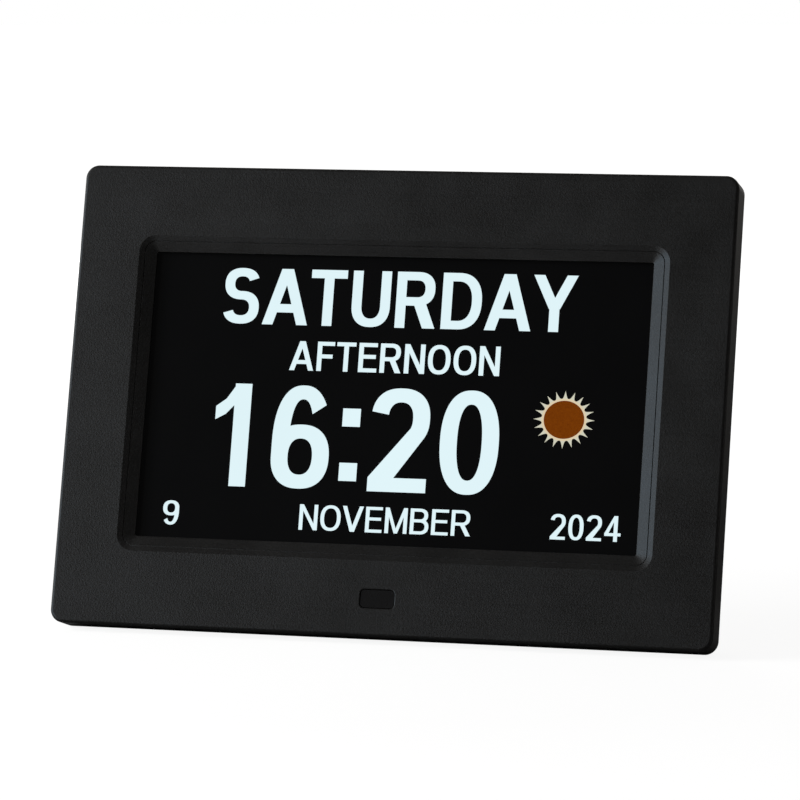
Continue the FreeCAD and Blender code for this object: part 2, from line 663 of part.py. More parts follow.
def grille_cuts():
    """Round holes in rings over the loudspeaker."""
    holes = [disc(SPEAKER_X, SPEAKER_Z, GRILLE_R, BACK_INNER, CASE_DEPTH)]
    for ring in range(1, GRILLE_RINGS + 1):
        for step in range(6 * ring):
            angle = 2 * math.pi * step / (6 * ring)
            x = SPEAKER_X + ring * GRILLE_PITCH * math.cos(angle)
            z = SPEAKER_Z + ring * GRILLE_PITCH * math.sin(angle)
            holes.append(disc(x, z, GRILLE_R, BACK_INNER, CASE_DEPTH))
    return holes


def vent_cuts():
    """A row of upright slots behind the main board."""
    middle = board_left() + board_width() / 2
    slots = []
    for index in range(VENT_COUNT):
        x = middle + (index - (VENT_COUNT - 1) / 2) * VENT_PITCH
        slots.append(rounded_plate(VENT_W, VENT_L, VENT_W / 2, BACK_INNER, CASE_DEPTH, x, VENT_Z))
    return slots


def hanging_cuts():
    """Two keyholes for wall screws: a round entry with a narrow slot above it."""
    cuts = []
    for side in (-1, 1):
        x = side * HANG_X
        cuts.append(disc(x, HANG_Z, HANG_R, BACK_INNER, CASE_DEPTH))
        cuts.append(block(x - HANG_NECK_R, x + HANG_NECK_R, BACK_INNER, CASE_DEPTH, HANG_Z,
                          HANG_Z + HANG_SLOT))
        cuts.append(disc(x, HANG_Z + HANG_SLOT, HANG_NECK_R, BACK_INNER, CASE_DEPTH))
    return cuts


def cover_screws():
    head_y = WELL_FLOOR + WELL_FLOOR_T
    return Part.makeCompound([screw(x, z, head_y, -1, COVER_SHANK_R, COVER_HEAD_R, COVER_HEAD_T, COVER_LENGTH)
                              for x, z in well_places()])


# ---------------------------------------------------------------- main board and what it carries
def main_board():
    left = board_left()
    right = left + board_width()
    board = block(left, right, BOARD_FRONT, BOARD_BACK, BOARD_BOTTOM, BOARD_BOTTOM + BOARD_H)
    for x, z in board_screw_places():
        board = board.cut(disc(x, z, SMALL_SHANK_R + SCREW_PLAY, BOARD_FRONT, BOARD_BACK))
    return board


def board_screws():
    return Part.makeCompound([small_screw(x, z, BOARD_FRONT, 1) for x, z in board_screw_places()])


def board_point(across, up):
    """A point on the main board, from shares of its width and height."""
    return board_left() + across * board_width(), BOARD_BOTTOM + up * BOARD_H


def on_board(across, up, width, height, thickness):
    """A flat part on the board's front."""
    x, z = board_point(across, up)
    return centred_block(x, z, width, height, BOARD_FRONT - thickness, BOARD_FRONT)


def processor():
    return on_board(*PROCESSOR)


def memory_chip():
    return on_board(*MEMORY_CHIP)


def power_chips():
    return Part.makeCompound([on_board(*REGULATOR), on_board(*AMPLIFIER)])


def crystal():
    across, up, width, height, thickness = CRYSTAL
    x, z = board_point(across, up)
    return rounded_plate(width, height, 0.48 * height, BOARD_FRONT - thickness, BOARD_FRONT, x, z)


def inductor():
    core = on_board(*INDUCTOR)
    thickness = INDUCTOR[4]
    return core.makeChamfer(0.25 * thickness, edges_at_depth(core, BOARD_FRONT - thickness))


def capacitors():
    cans = []
    for across, up in CANS:
        x, z = board_point(across, up)
        base = centred_block(x, z, CAN_BASE, CAN_BASE, BOARD_FRONT - CAN_BASE_T, BOARD_FRONT)
        cans.append(base.fuse(disc(x, z, CAN_R, BOARD_FRONT - CAN_T, BOARD_FRONT - CAN_BASE_T)))
    return Part.makeCompound(cans)


def coin_place():
    """The cell's centre: its holder stands beside the receiver's leads."""
    holder_right = ir_lead_place()[0] - LEAD_SPACING - IR_LEAD_R - HOLDER_GAP
    return holder_right - HOLDER_W / 2, board_point(0, COIN_UP)[1]


def coin_cell_holder():
    x, z = coin_place()
    body = rounded_plate(HOLDER_W, HOLDER_W, HOLDER_R, BOARD_FRONT - HOLDER_T, BOARD_FRONT, x, z)
    seat = BOARD_FRONT - (HOLDER_T - COIN_T)
    return body.cut(disc(x, z, COIN_R + FIT, BOARD_FRONT - HOLDER_T, seat))


def coin_cell():
    x, z = coin_place()
    seat = BOARD_FRONT - (HOLDER_T - COIN_T)
    return disc(x, z, COIN_R, seat - COIN_T, seat)


def usb_socket():
    x0 = port_mouth()
    y0 = BOARD_FRONT - USB_T
    shell = block(x0, x0 + USB_L, y0, BOARD_FRONT, USB_Z - USB_W / 2, USB_Z + USB_W / 2)
    hollow = block(x0, x0 + USB_L - USB_SHEET, y0 + USB_SHEET, BOARD_FRONT - USB_SHEET,
                   USB_Z - USB_W / 2 + USB_SHEET, USB_Z + USB_W / 2 - USB_SHEET)
    return shell.cut(hollow)


def usb_tongue():
    x0 = port_mouth() + TONGUE_EDGE
    x1 = port_mouth() + USB_L - USB_SHEET
    y0 = BOARD_FRONT - USB_T + USB_SHEET
    back = block(x1 - TONGUE_ROOT, x1, y0, BOARD_FRONT - USB_SHEET, USB_Z - USB_W / 2 + USB_SHEET,
                 USB_Z + USB_W / 2 - USB_SHEET)
    blade = block(x0, x1, BOARD_FRONT - USB_T / 2, BOARD_FRONT - USB_T / 2 + TONGUE_T,
                  USB_Z - USB_W / 2 + TONGUE_EDGE, USB_Z + USB_W / 2 - TONGUE_EDGE)
    return back.fuse(blade).removeSplitter()


def dc_socket():
    x0 = board_left()
    y0 = BOARD_FRONT - DC_T
    axis_y = BOARD_FRONT - DC_T / 2
    body = block(x0, x0 + DC_L, y0, BOARD_FRONT, DC_Z - DC_W / 2, DC_Z + DC_W / 2)
    nose = Part.makeCylinder(DC_NOSE_R, x0 - port_mouth(), Vector(port_mouth(), axis_y, DC_Z),
                             Vector(1, 0, 0))
    bore = Part.makeCylinder(DC_BORE_R, x0 + DC_L - WALL - port_mouth(),
                             Vector(port_mouth(), axis_y, DC_Z), Vector(1, 0, 0))
    return body.fuse(nose).cut(bore).removeSplitter()


def dc_socket_pin():
    start = port_mouth() + DC_PIN_SUNK
    return Part.makeCylinder(DC_PIN_R, board_left() + DC_L - WALL - start,
                             Vector(start, BOARD_FRONT - DC_T / 2, DC_Z), Vector(1, 0, 0))


def card_socket():
    x0 = port_mouth()
    body = block(x0, x0 + CARD_L, BOARD_FRONT - CARD_T, BOARD_FRONT, CARD_Z - CARD_W / 2,
                 CARD_Z + CARD_W / 2)
    slot_y = BOARD_FRONT - CARD_T / 2
    slot = block(x0, x0 + CARD_L - WALL, slot_y - CARD_SLOT_T / 2, slot_y + CARD_SLOT_T / 2,
                 CARD_Z - CARD_SLOT_W / 2, CARD_Z + CARD_SLOT_W / 2)
    return body.cut(slot)


def ribbon_places():
    """The x of the display's ribbon and of the keys' ribbon beside it."""
    lcd_x = board_left() + LCD_RIBBON_ACROSS * board_width()
    return lcd_x, lcd_x + (LCD_RIBBON_W + KEY_RIBBON_W) / 2 + 2 * SOCKET_RIM + RIBBON_SPACING


def ribbon_sockets():
    """The two connectors at the board's top edge, for the display's ribbon and the keys'."""
    z = BOARD_BOTTOM + SOCKET_UP * BOARD_H
    sockets = []
    for x, width in zip(ribbon_places(), (LCD_RIBBON_W, KEY_RIBBON_W)):
        sockets.append(centred_block(x, z, width + 2 * SOCKET_RIM, SOCKET_H, BOARD_FRONT - SOCKET_T,
                                     BOARD_FRONT))
    return Part.makeCompound(sockets)


def socket_mouth():
    """Where a ribbon enters its socket: the depth of its middle and the socket's upper edge."""
    return BOARD_FRONT - SOCKET_T / 2, BOARD_BOTTOM + SOCKET_UP * BOARD_H + SOCKET_H / 2


def lcd_ribbon():
    """From the back of the display module down into the wide connector."""
    x = ribbon_places()[0]
    y_end, z_end = socket_mouth()
    y_start = LCD_BACK + RIBBON_T / 2
    bend = z_end + abs(y_end - y_start)
    profile = [(y_start, bend + SOCKET_H + RIBBON_LAP), (y_start, bend + SOCKET_H),
               (y_end, z_end + SOCKET_H), (y_end, z_end)]
    return ribbon(x, LCD_RIBBON_W, RIBBON_T, profile)


# ---------------------------------------------------------------- keys
def key_board():
    half = keyboard_screw_places()[-1][0] + KEYBOARD_END
    board = centred_block(0, KEY_Z, 2 * half, KEYBOARD_H, KEYBOARD_FRONT, KEYBOARD_BACK)
    for x, z in keyboard_screw_places():
        board = board.cut(disc(x, z, SMALL_SHANK_R + SCREW_PLAY, KEYBOARD_FRONT, KEYBOARD_BACK))
    return board


def key_board_screws():
    return Part.makeCompound([small_screw(x, z, KEYBOARD_FRONT, 1) for x, z in keyboard_screw_places()])


def switch_bodies():
    bodies = []
    for name, x in key_places():
        body = centred_block(x, KEY_Z, SWITCH_W, SWITCH_W, KEYBOARD_BACK, SWITCH_BACK)
        well = PLUNGER_SINK + KEY_TRAVEL + KEY_PLAY
        bodies.append(body.cut(disc(x, KEY_Z, PLUNGER_R + KEY_PLAY, SWITCH_BACK - well, SWITCH_BACK)))
    return Part.makeCompound(bodies)


def key_cap(x):
    cap = rounded_plate(KEY_W, KEY_H, KEY_H / 2, KEY_FLANGE_BACK, CASE_DEPTH + KEY_PROUD, x, KEY_Z)
    cap = cap.makeFillet(KEY_ROUND, edges_at_depth(cap, CASE_DEPTH + KEY_PROUD))
    flange = rounded_plate(KEY_W + 2 * KEY_FLANGE, KEY_H + 2 * KEY_FLANGE, KEY_H / 2 + KEY_FLANGE,
                           KEY_FLANGE_BACK - KEY_FLANGE_T, KEY_FLANGE_BACK, x, KEY_Z)
    return cap.fuse(flange).removeSplitter()


def plunger(x):
    return disc(x, KEY_Z, PLUNGER_R, SWITCH_BACK - PLUNGER_SINK, KEY_FLANGE_BACK - KEY_FLANGE_T)


def key_ribbon():
    """From the front of the key board down into the narrow connector."""
    x = ribbon_places()[1]
    y_end, z_end = socket_mouth()
    y_start = KEYBOARD_FRONT - RIBBON_T / 2
    z_start = KEY_Z - KEYBOARD_H / 2
    profile = [(y_start, z_start + SOCKET_H), (y_start, z_start - KEY_FLANGE), (y_end, z_end + SOCKET_H),
               (y_end, z_end)]
    return ribbon(x, KEY_RIBBON_W, RIBBON_T, profile)


# ---------------------------------------------------------------- loudspeaker
def speaker_basket():
    flange = disc(SPEAKER_X, SPEAKER_Z, SPEAKER_R, BACK_INNER - SPEAKER_FLANGE_T, BACK_INNER)
    cup_back = BACK_INNER - SPEAKER_FLANGE_T
    cup = disc(SPEAKER_X, SPEAKER_Z, SPEAKER_CUP_R, cup_back - SPEAKER_CUP_T, cup_back)
    hollow = disc(SPEAKER_X, SPEAKER_Z, SPEAKER_CUP_R - SPEAKER_SHEET,
                  cup_back - SPEAKER_CUP_T + SPEAKER_SHEET, BACK_INNER)
    return flange.fuse(cup).cut(hollow).removeSplitter()


def speaker_cone():
    """A thin paper cone that is narrow at the magnet and meets the basket's wall at its rim."""
    low = BACK_INNER - SPEAKER_FLANGE_T - SPEAKER_CUP_T + SPEAKER_SHEET
    high = BACK_INNER - SPEAKER_FLANGE_T
    start = Vector(SPEAKER_X, low, SPEAKER_Z)
    along = Vector(0, 1, 0)
    rim_r = SPEAKER_CUP_R - SPEAKER_SHEET
    neck_r = 0.4 * rim_r
    outer = Part.makeCone(neck_r, rim_r, high - low, start, along)
    lift = Vector(0, SPEAKER_SHEET, 0)
    inner = Part.makeCone(neck_r, rim_r, high - low, start + lift, along)
    return outer.cut(inner)


def speaker_magnet():
    back = BACK_INNER - SPEAKER_FLANGE_T - SPEAKER_CUP_T
    magnet = disc(SPEAKER_X, SPEAKER_Z, MAGNET_R, back - MAGNET_T, back)
    return magnet.makeFillet(0.6, edges_at_depth(magnet, back - MAGNET_T))


def speaker_leads():
    """Two wires from the basket, in front of the leg's pocket, to the main board."""
    basket_y = BACK_INNER - SPEAKER_FLANGE_T - SPEAKER_CUP_T
    run_y = (LCD_BACK + POCKET_FLOOR - WALL) / 2
    start_x = SPEAKER_X - 0.75 * SPEAKER_CUP_R
    end_x, end_z = board_point(*SPEAKER_LEAD_END)
    wires = []
    for offset in (-LEAD_SPACING / 2, LEAD_SPACING / 2):
        z = SPEAKER_Z + offset
        points = [(start_x, basket_y, z), (start_x, run_y, z), (0.5 * start_x, run_y, z + LEAD_SPACING),
                  (0.0, run_y, z - LEAD_SPACING), (end_x, run_y, end_z + offset),
                  (end_x, BOARD_FRONT, end_z + offset)]
        wires.append(lead(points, SPEAKER_LEAD_R))
    return Part.makeCompound(wires)


# ---------------------------------------------------------------- remote control receiver
def ir_board():
    back = IR_BOARD_FRONT + IR_BOARD_T
    board = centred_block(IR_X, IR_Z, IR_BOARD_W, ir_board_height(), IR_BOARD_FRONT, back)
    for x, z in ir_screw_places():
        board = board.cut(disc(x, z, SMALL_SHANK_R + SCREW_PLAY, IR_BOARD_FRONT, back))
    return board


def ir_board_screws():
    head_y = IR_BOARD_FRONT + IR_BOARD_T
    return Part.makeCompound([small_screw(x, z, head_y, -1) for x, z in ir_screw_places()])


def ir_receiver():
    dome_r = 0.3 * IR_CHIP
    lens = 0.5 * IR_FLANGE_T
    body = centred_block(IR_X, IR_Z, IR_CHIP, IR_CHIP, IR_CHIP_FRONT + lens, IR_BOARD_FRONT)
    return body.fuse(disc(IR_X, IR_Z, dome_r, IR_CHIP_FRONT, IR_CHIP_FRONT + lens)).removeSplitter()


def ir_lead_place():
    """Where the middle lead ends on the main board."""
    return board_left() + board_width() - IR_LEAD_EDGE, board_point(0, IR_LEAD_UP)[1]


def ir_leads():
    """Three wires from the receiver's board up to the main board."""
    start_y = IR_BOARD_FRONT + IR_BOARD_T
    start_x = IR_X - IR_CHIP
    end_x, end_z = ir_lead_place()
    run_y = (start_y + BOARD_FRONT) / 2
    wires = []
    for offset in (-LEAD_SPACING, 0.0, LEAD_SPACING):
        points = [(start_x + offset, start_y, IR_Z), (start_x + offset, run_y, IR_Z),
                  (end_x + offset, run_y, end_z), (end_x + offset, BOARD_FRONT, end_z)]
        wires.append(lead(points, IR_LEAD_R))
    return Part.makeCompound(wires)


# ---------------------------------------------------------------- stand
def stand_leg():
    """The leg, drawn folded flat in its pocket and then swung open."""
    front = PIVOT_Y - LEG_T / 2
    reach = LEG_LENGTH + LEG_T
    corners = [Vector(-LEG_W / 2, front, PIVOT_Z), Vector(LEG_W / 2, front, PIVOT_Z),
               Vector(LEG_TIP_W / 2, front, PIVOT_Z - reach), Vector(-LEG_TIP_W / 2, front, PIVOT_Z - reach)]
    leg = Part.Face(Part.makePolygon(corners + corners[:1])).extrude(Vector(0, LEG_T, 0))
    leg = leg.fuse(Part.makeCylinder(BARREL_R, LEG_W, Vector(-LEG_W / 2, PIVOT_Y, PIVOT_Z), Vector(1, 0, 0)))
    leg = leg.fuse(block(-LEG_W / 2, LEG_W / 2, front, PIVOT_Y, PIVOT_Z, PIVOT_Z + HEEL))
    panel_w = LEG_TIP_W - 2 * LEG_PANEL_INSET
    panel_top = PIVOT_Z - BARREL_R - LEG_PANEL_INSET
    panel_bottom = PIVOT_Z - LEG_LENGTH + 2 * LEG_PANEL_INSET
    back = PIVOT_Y + LEG_T / 2
    panel = rounded_plate(panel_w, panel_top - panel_bottom, LEG_PANEL_R, back - LEG_PANEL_DEPTH, back, 0.0,
                          (panel_top + panel_bottom) / 2)
    leg = leg.cut(panel)
    bore_r = PIN_R + PIN_PLAY
    leg = leg.cut(Part.makeCylinder(bore_r, LEG_W, Vector(-LEG_W / 2, PIVOT_Y, PIVOT_Z), Vector(1, 0, 0)))
    leg.rotate(Vector(0, PIVOT_Y, PIVOT_Z), Vector(1, 0, 0), LEG_OPEN)
    stop = block(-LEG_W, LEG_W, POCKET_FLOOR - 2 * HEEL, POCKET_FLOOR + STOP_GAP, PIVOT_Z - HEEL,
                 PIVOT_Z + 2 * HEEL)
    leg = stand_up(leg.cut(stop))
    under_foot = block(-LEG_W, LEG_W, -CASE_H, CASE_H, -CASE_H, PAD_T)
    return leg.cut(under_foot).removeSplitter()


def hinge_pin():
    half = POCKET_W / 2 + EAR_T
    return Part.makeCylinder(PIN_R, 2 * half, Vector(-half, PIVOT_Y, PIVOT_Z), Vector(1, 0, 0))


def foot_pad():
    """The rubber pad under the leg's tip, drawn standing on the table."""
    width = LEG_TIP_W - 2 * PAD_INSET
    centre = FOOT_Y - MIDDLE_Y
    pad = block(-width / 2, width / 2, centre - PAD_L / 2, centre + PAD_L / 2, 0, PAD_T)
    upright = [edge for edge in pad.Edges if abs(edge.Length - PAD_T) < 0.001]
    return pad.makeFillet(0.25 * PAD_L, upright)


# ---------------------------------------------------------------- assembly
def stand_up(shape):
    """Tilts a shape from the case's frame back onto the table."""
    placed = shape.copy()
    placed.rotate(Vector(0, 0, 0), Vector(1, 0, 0), -TILT)
    placed.translate(Vector(0, -MIDDLE_Y, -FLOOR_LEVEL))
    return placed


def nodes():
    """Every piece by name, standing on the table."""
    makers = [front_bezel, ir_window, screen_gasket, lcd_frame, lcd_glass, light_guide, lcd_clamps,
              lcd_clamp_screws, rear_cover, cover_screws, main_board, board_screws, processor, memory_chip,
              power_chips, crystal, inductor, capacitors, coin_cell_holder, coin_cell, usb_socket, usb_tongue,
              dc_socket, dc_socket_pin, card_socket, ribbon_sockets, lcd_ribbon, key_board, key_board_screws,
              switch_bodies, key_ribbon, speaker_basket, speaker_cone, speaker_magnet, speaker_leads,
              ir_board, ir_board_screws, ir_receiver, ir_leads, hinge_pin]
    pieces = {maker.__name__: stand_up(maker()) for maker in makers}
    for name, x in key_places():
        pieces["key_" + name] = stand_up(key_cap(x))
        pieces["plunger_" + name] = stand_up(plunger(x))
    pieces["stand_leg"] = stand_leg()
    pieces["foot_pad"] = foot_pad()
    return pieces


def main():
    os.makedirs("parts", exist_ok=True)
    for name, shape in nodes().items():
        shape.exportStep("parts/" + name + ".step")


main()
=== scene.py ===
"""The looks of a day clock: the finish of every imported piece, the lit page, the printed marks and a small studio.

Shapes are drawn in the case's own frame, in millimetres: x to the right, depth from the front face towards the
back, and up along the face, with the face's centre at zero. to_row() turns them into metres in the row's frame.
"""
import bpy
import json
import math
import numpy as np
from mathutils import Matrix, Vector


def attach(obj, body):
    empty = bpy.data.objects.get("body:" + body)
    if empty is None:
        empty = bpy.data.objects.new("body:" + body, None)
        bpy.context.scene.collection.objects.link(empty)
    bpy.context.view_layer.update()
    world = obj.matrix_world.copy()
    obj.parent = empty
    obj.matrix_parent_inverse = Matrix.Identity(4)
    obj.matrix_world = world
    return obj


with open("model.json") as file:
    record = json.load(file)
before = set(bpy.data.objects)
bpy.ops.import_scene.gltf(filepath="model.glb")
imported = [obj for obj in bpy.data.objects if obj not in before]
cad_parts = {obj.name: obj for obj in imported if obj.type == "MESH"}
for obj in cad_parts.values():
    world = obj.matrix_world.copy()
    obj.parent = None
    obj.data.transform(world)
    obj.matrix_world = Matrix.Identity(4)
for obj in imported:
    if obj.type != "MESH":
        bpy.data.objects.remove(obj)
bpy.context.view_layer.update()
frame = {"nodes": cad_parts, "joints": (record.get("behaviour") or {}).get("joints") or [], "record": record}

MM = 0.001

# ---------------------------------------------------------------- the page on the display, in millimetres
PAGE_LIFT = 0.04  # lit shapes stand this far off the glass
LINE_GAP = 0.11  # between two letters, in shares of their height
CLOSER = {"SA": 0.03, "AT": 0.08, "DA": 0.04, "AY": 0.10, "FT": 0.03, "OV": 0.05, "VE": 0.02}  # taken off that gap
# widths of an upright and of a level stroke, in shares of the letter's height
HEAVY = (0.185, 0.15)
BOLD = (0.165, 0.135)
PLAIN = (0.145, 0.118)
# name, words, left end, right end, baseline, height, stroke widths
PAGE_LINES = [
    ("weekday_letters", "SATURDAY", -54.6, 53.4, 22.6, 16.9, HEAVY),
    ("part_of_day_letters", "AFTERNOON", -32.7, 31.4, 9.0, 8.8, BOLD),
    ("time_digits", "16:20", -55.3, 32.7, -26.4, 30.9, BOLD),
    ("day_digit", "9", -68.4, -63.4, -38.6, 7.3, PLAIN),
    ("month_letters", "NOVEMBER", -26.2, 25.9, -38.6, 7.6, PLAIN),
    ("year_digits", "2024", 49.7, 70.6, -38.5, 7.5, PLAIN),
]
SUN_X = 51.7
SUN_UP = -3.3
# radii of the disc, of the ring round it and of the rays' tips
SUN_DISC = 6.05
SUN_RING = 6.7
SUN_REACH = 9.2
SUN_RAYS = 20
SUN_SHARPNESS = 2.7  # a ray is the saw-tooth to this power
SUN_HEIGHT = 0.93  # its height over its width, because the display's pixels are wider than high

# ---------------------------------------------------------------- printed marks on the back, in millimetres
MARK_LIFT = 0.02  # ink above the plastic
MARK_LINE = 0.45  # width of a printed line
MARK_SIZE = 3.0  # height of a key's sign
MARK_ABOVE_KEY = 2.4  # from the key's upper edge to the middle of its sign
PORT_MARK_EDGE = 7.5  # port marks inside the back face's edge

# ---------------------------------------------------------------- studio, in metres and degrees
CAMERA_AZIMUTH = 14.69  # to the clock's right
CAMERA_ELEVATION = 6.84
CAMERA_DISTANCE = 1.2299  # from the face's centre
CAMERA_RIGHT = 0.00288  # the camera's small offset from the face's centre
CAMERA_UP = 0.00037
SENSOR = 36.0
LENS = 188.3
# what glossy surfaces see: towards the middle of each soft light, its strength, and the cosines of the angles from
# its middle where it begins and is full
WINDOW = ((-0.81, -0.57, 0.13), 3.6, 0.8, 0.98)
LEFT_WALL = ((-0.87, 0.5, 0.0), 1.0, 0.62, 0.8)
TABLE = ((0.0, 0.0, -1.0), 1.2, 0.38, 0.8)
RIGHT_CARD = ((0.9, 0.0, -0.43), 1.8, 0.85, 0.96)
BACK_WALL = ((0.25, 0.93, 0.35), 0.7, 0.893, 0.97)
CEILING = ((0.0, 0.0, 1.0), 0.08, 0.3, 0.9)
DIM_LIGHT = 0.065  # between them, in front of the clock
DARK_LIGHT = 0.028  # the same, behind it
EVEN_LIGHT = 0.22  # what everything else gets from all sides
FLOOR_NEAR = (0.04, 0.07)  # glossy surfaces see the floor up to this far in front and behind the clock's middle
FLOOR_RINGS = (0.001, 0.5, 2.0, 6.0)  # radii of the rings of points of the round floor
# each lamp's place, size and power
LAMPS = {"key_lamp": ((-1.0, -0.35, 0.35), 0.5, 15.0), "back_lamp": ((-0.6, 1.2, 0.3), 0.5, 9.0)}


# ---------------------------------------------------------------- the case's own frame
def vertices(node):
    """A CAD node's points in the row's frame, in metres."""
    mesh = frame["nodes"][node].data
    points = np.empty(len(mesh.vertices) * 3)
    mesh.vertices.foreach_get("co", points)
    return points.reshape(-1, 3)


def case_axes():
    """Right, depth and up of the leaning case; a key is pressed straight against the depth."""
    press = next(joint for joint in frame["joints"] if joint["name"] == "button_power_press")
    depth = -np.array(press["axis"], float)
    depth /= np.linalg.norm(depth)
    right = np.array([1.0, 0.0, 0.0])
    return np.array([right, depth, np.cross(right, depth)])


AXES = case_axes()


def face_centre():
    """The middle of the front face, from the outermost points of the front shell."""
    points = vertices("front_bezel") @ AXES.T
    low, high = points.min(axis=0), points.max(axis=0)
    return np.array([(low[0] + high[0]) / 2, low[1], (low[2] + high[2]) / 2]) @ AXES


CENTRE = face_centre()


def to_row(points):
    """Millimetres in the case's frame to metres in the row's frame."""
    return CENTRE + np.asarray(points) * MM @ AXES


def extent(node):
    """A node's lowest and highest x, depth and up, in millimetres."""
    points = (vertices(node) - CENTRE) @ AXES.T / MM
    return points.min(axis=0), points.max(axis=0)


# ---------------------------------------------------------------- meshes from grids of points
def grid_quads(rows, columns, start):
    """The quads between neighbouring points of a grid whose points are numbered from start."""
    corner = start + np.arange(rows - 1)[:, None] * columns + np.arange(columns - 1)
    return np.stack([corner, corner + columns, corner + columns + 1, corner + 1], axis=-1).reshape(-1, 4)


def make_piece(name, grids, material, body="case"):
    """One object from surfaces, each a grid of points (rows, columns, 3) in the case's frame."""
    points = [to_row(grid.reshape(-1, 3)) for grid in grids]
    starts = np.cumsum([0] + [len(part) for part in points])
    quads = [grid_quads(grid.shape[0], grid.shape[1], start) for grid, start in zip(grids, starts)]
    mesh = bpy.data.meshes.new(name)
    mesh.from_pydata(np.concatenate(points), [], np.concatenate(quads))
    mesh.materials.append(material)
    mesh.update()
    piece = bpy.data.objects.new(name, mesh)
    bpy.context.scene.collection.objects.link(piece)
    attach(piece, body)


# ---------------------------------------------------------------- letters, each a set of flat strokes
def stroke(first, second):
    """A flat strip between two edges with the same number of points."""
    return np.stack([np.asarray(first, float), np.asarray(second, float)], axis=1)


def rounded_square(start, end, squareness=2.35):
    """Points round a soft square of half-width one: (cos, sin) over the s-th root of cos^s + sin^s."""
    turn = np.radians(np.linspace(start, end, 2 + int(abs(end - start) / 5)))
    pair = np.stack([np.cos(turn), np.sin(turn)], axis=1)
    return pair / ((np.abs(pair) ** squareness).sum(axis=1) ** (1 / squareness))[:, None]


class Pen:
    """Draws the strokes of a letter one unit high; stem and beam are the widths of upright and level strokes."""

    def __init__(self, width, stem, beam):
        self.width = width
        self.stem = stem
        self.beam = beam

    def box(self, left, right, low, high):
        """An upright rectangle."""
        return stroke([(left, low), (left, high)], [(right, low), (right, high)])

    def post(self, left, low=0.0, high=1.0):
        """An upright stroke, from its left edge."""
        return self.box(left, left + self.stem, low, high)

    def bar(self, low, left=0.0, right=None):
        """A level stroke, from its lower edge."""
        return self.box(left, self.width if right is None else right, low, low + self.beam)

    def slant(self, low_left, high_left, low=0.0, high=1.0, share=1.1):
        """A leaning stroke with level ends, share times as wide as a stem."""
        wide = self.stem * share
        return stroke([(low_left, low), (high_left, high)], [(low_left + wide, low), (high_left + wide, high)])

    def bow(self, left, right, low, high, start=0, end=360):
        """A curved stroke: the outer soft square fills the box, the inner one is a stem and a beam smaller."""
        centre = np.array([(left + right) / 2, (low + high) / 2])
        outer = np.array([(right - left) / 2, (high - low) / 2])
        turn = rounded_square(start, end)
        return stroke(centre + turn * outer, centre + turn * (outer - (self.stem, self.beam)))

    def lobe(self, turn_x, right, low, high):
        """A half bow that opens to the left, with level strokes back to the left edge."""
        return [self.bow(2 * turn_x - right, right, low, high, -90, 90), self.bar(low, 0, turn_x),
                self.bar(high - self.beam, 0, turn_x)]


def letter_a(pen):
    """Two leaning strokes that meet at the top, and a bar low between them."""
    peak = pen.width / 2 - 0.6 * pen.stem
    return [pen.slant(0, peak), pen.slant(pen.width - 1.1 * pen.stem, peak + 0.1 * pen.stem),
            pen.bar(0.22, 0.22 * pen.width, 0.78 * pen.width)]


def letter_b(pen):
    """An upright with a small lobe above a larger one."""
    waist = 0.525
    return [pen.post(0), *pen.lobe(0.5 * pen.width, 0.95 * pen.width, waist - pen.beam / 2, 1),
            *pen.lobe(0.52 * pen.width, pen.width, 0, waist + pen.beam / 2)]


def letter_d(pen):
    """An upright with one lobe of its full height."""
    return [pen.post(0), *pen.lobe(0.4 * pen.width, pen.width, 0, 1)]


def letter_e(pen):
    """An upright and three bars, the middle one a little shorter."""
    return [pen.post(0), pen.bar(0), pen.bar(0.53 - pen.beam / 2, 0, 0.93 * pen.width), pen.bar(1 - pen.beam)]


def letter_f(pen):
    """An upright and two bars, the lower one a little shorter."""
    return [pen.post(0), pen.bar(0.5 - pen.beam / 2, 0, 0.9 * pen.width), pen.bar(1 - pen.beam)]


def letter_m(pen):
    """Two uprights and two strokes that lean from their tops to the middle of the base."""
    tip = pen.width / 2 - 0.45 * pen.stem
    return [pen.post(0), pen.post(pen.width - pen.stem), pen.slant(tip, 0.02, share=0.9),
            pen.slant(tip, pen.width - 0.9 * pen.stem - 0.02, share=0.9)]


def letter_n(pen):
    """Two uprights and a stroke from the left one's top to the right one's foot."""
    return [pen.post(0), pen.slant(pen.width - 1.05 * pen.stem, 0, share=1.05), pen.post(pen.width - pen.stem)]


def letter_o(pen):
    """One closed bow."""
    return [pen.bow(0, pen.width, 0, 1)]


def letter_r(pen):
    """An upright, a lobe on its upper part and a leg that leans out below it."""
    waist = 0.4
    return [pen.post(0), *pen.lobe(0.52 * pen.width, 0.96 * pen.width, waist, 1),
            pen.slant(pen.width - 1.25 * pen.stem, 0.42 * pen.width, 0, waist + 0.5 * pen.beam, share=1.25)]


def letter_s(pen):
    """An upper bow that is open at the lower right over a lower one that is open at the upper left."""
    waist = 0.51
    narrow = 0.02 * pen.width
    return [pen.bow(narrow, pen.width - narrow, waist - pen.beam / 2, 1, 22, 270),
            pen.bow(0, pen.width, 0, waist + pen.beam / 2, -160, 90)]


def letter_t(pen):
    """A bar at the top and an upright in its middle."""
    return [pen.bar(1 - pen.beam), pen.post((pen.width - pen.stem) / 2)]


def letter_u(pen):
    """Two uprights joined below by half a bow."""
    turn = 0.38
    return [pen.post(0, turn), pen.post(pen.width - pen.stem, turn), pen.bow(0, pen.width, 0, 2 * turn, 180, 360)]


def letter_v(pen):
    """Two leaning strokes that meet at the foot."""
    tip = pen.width / 2 - 0.55 * pen.stem
    return [pen.slant(tip - 0.03 * pen.stem, 0), pen.slant(tip + 0.03 * pen.stem, pen.width - 1.1 * pen.stem)]


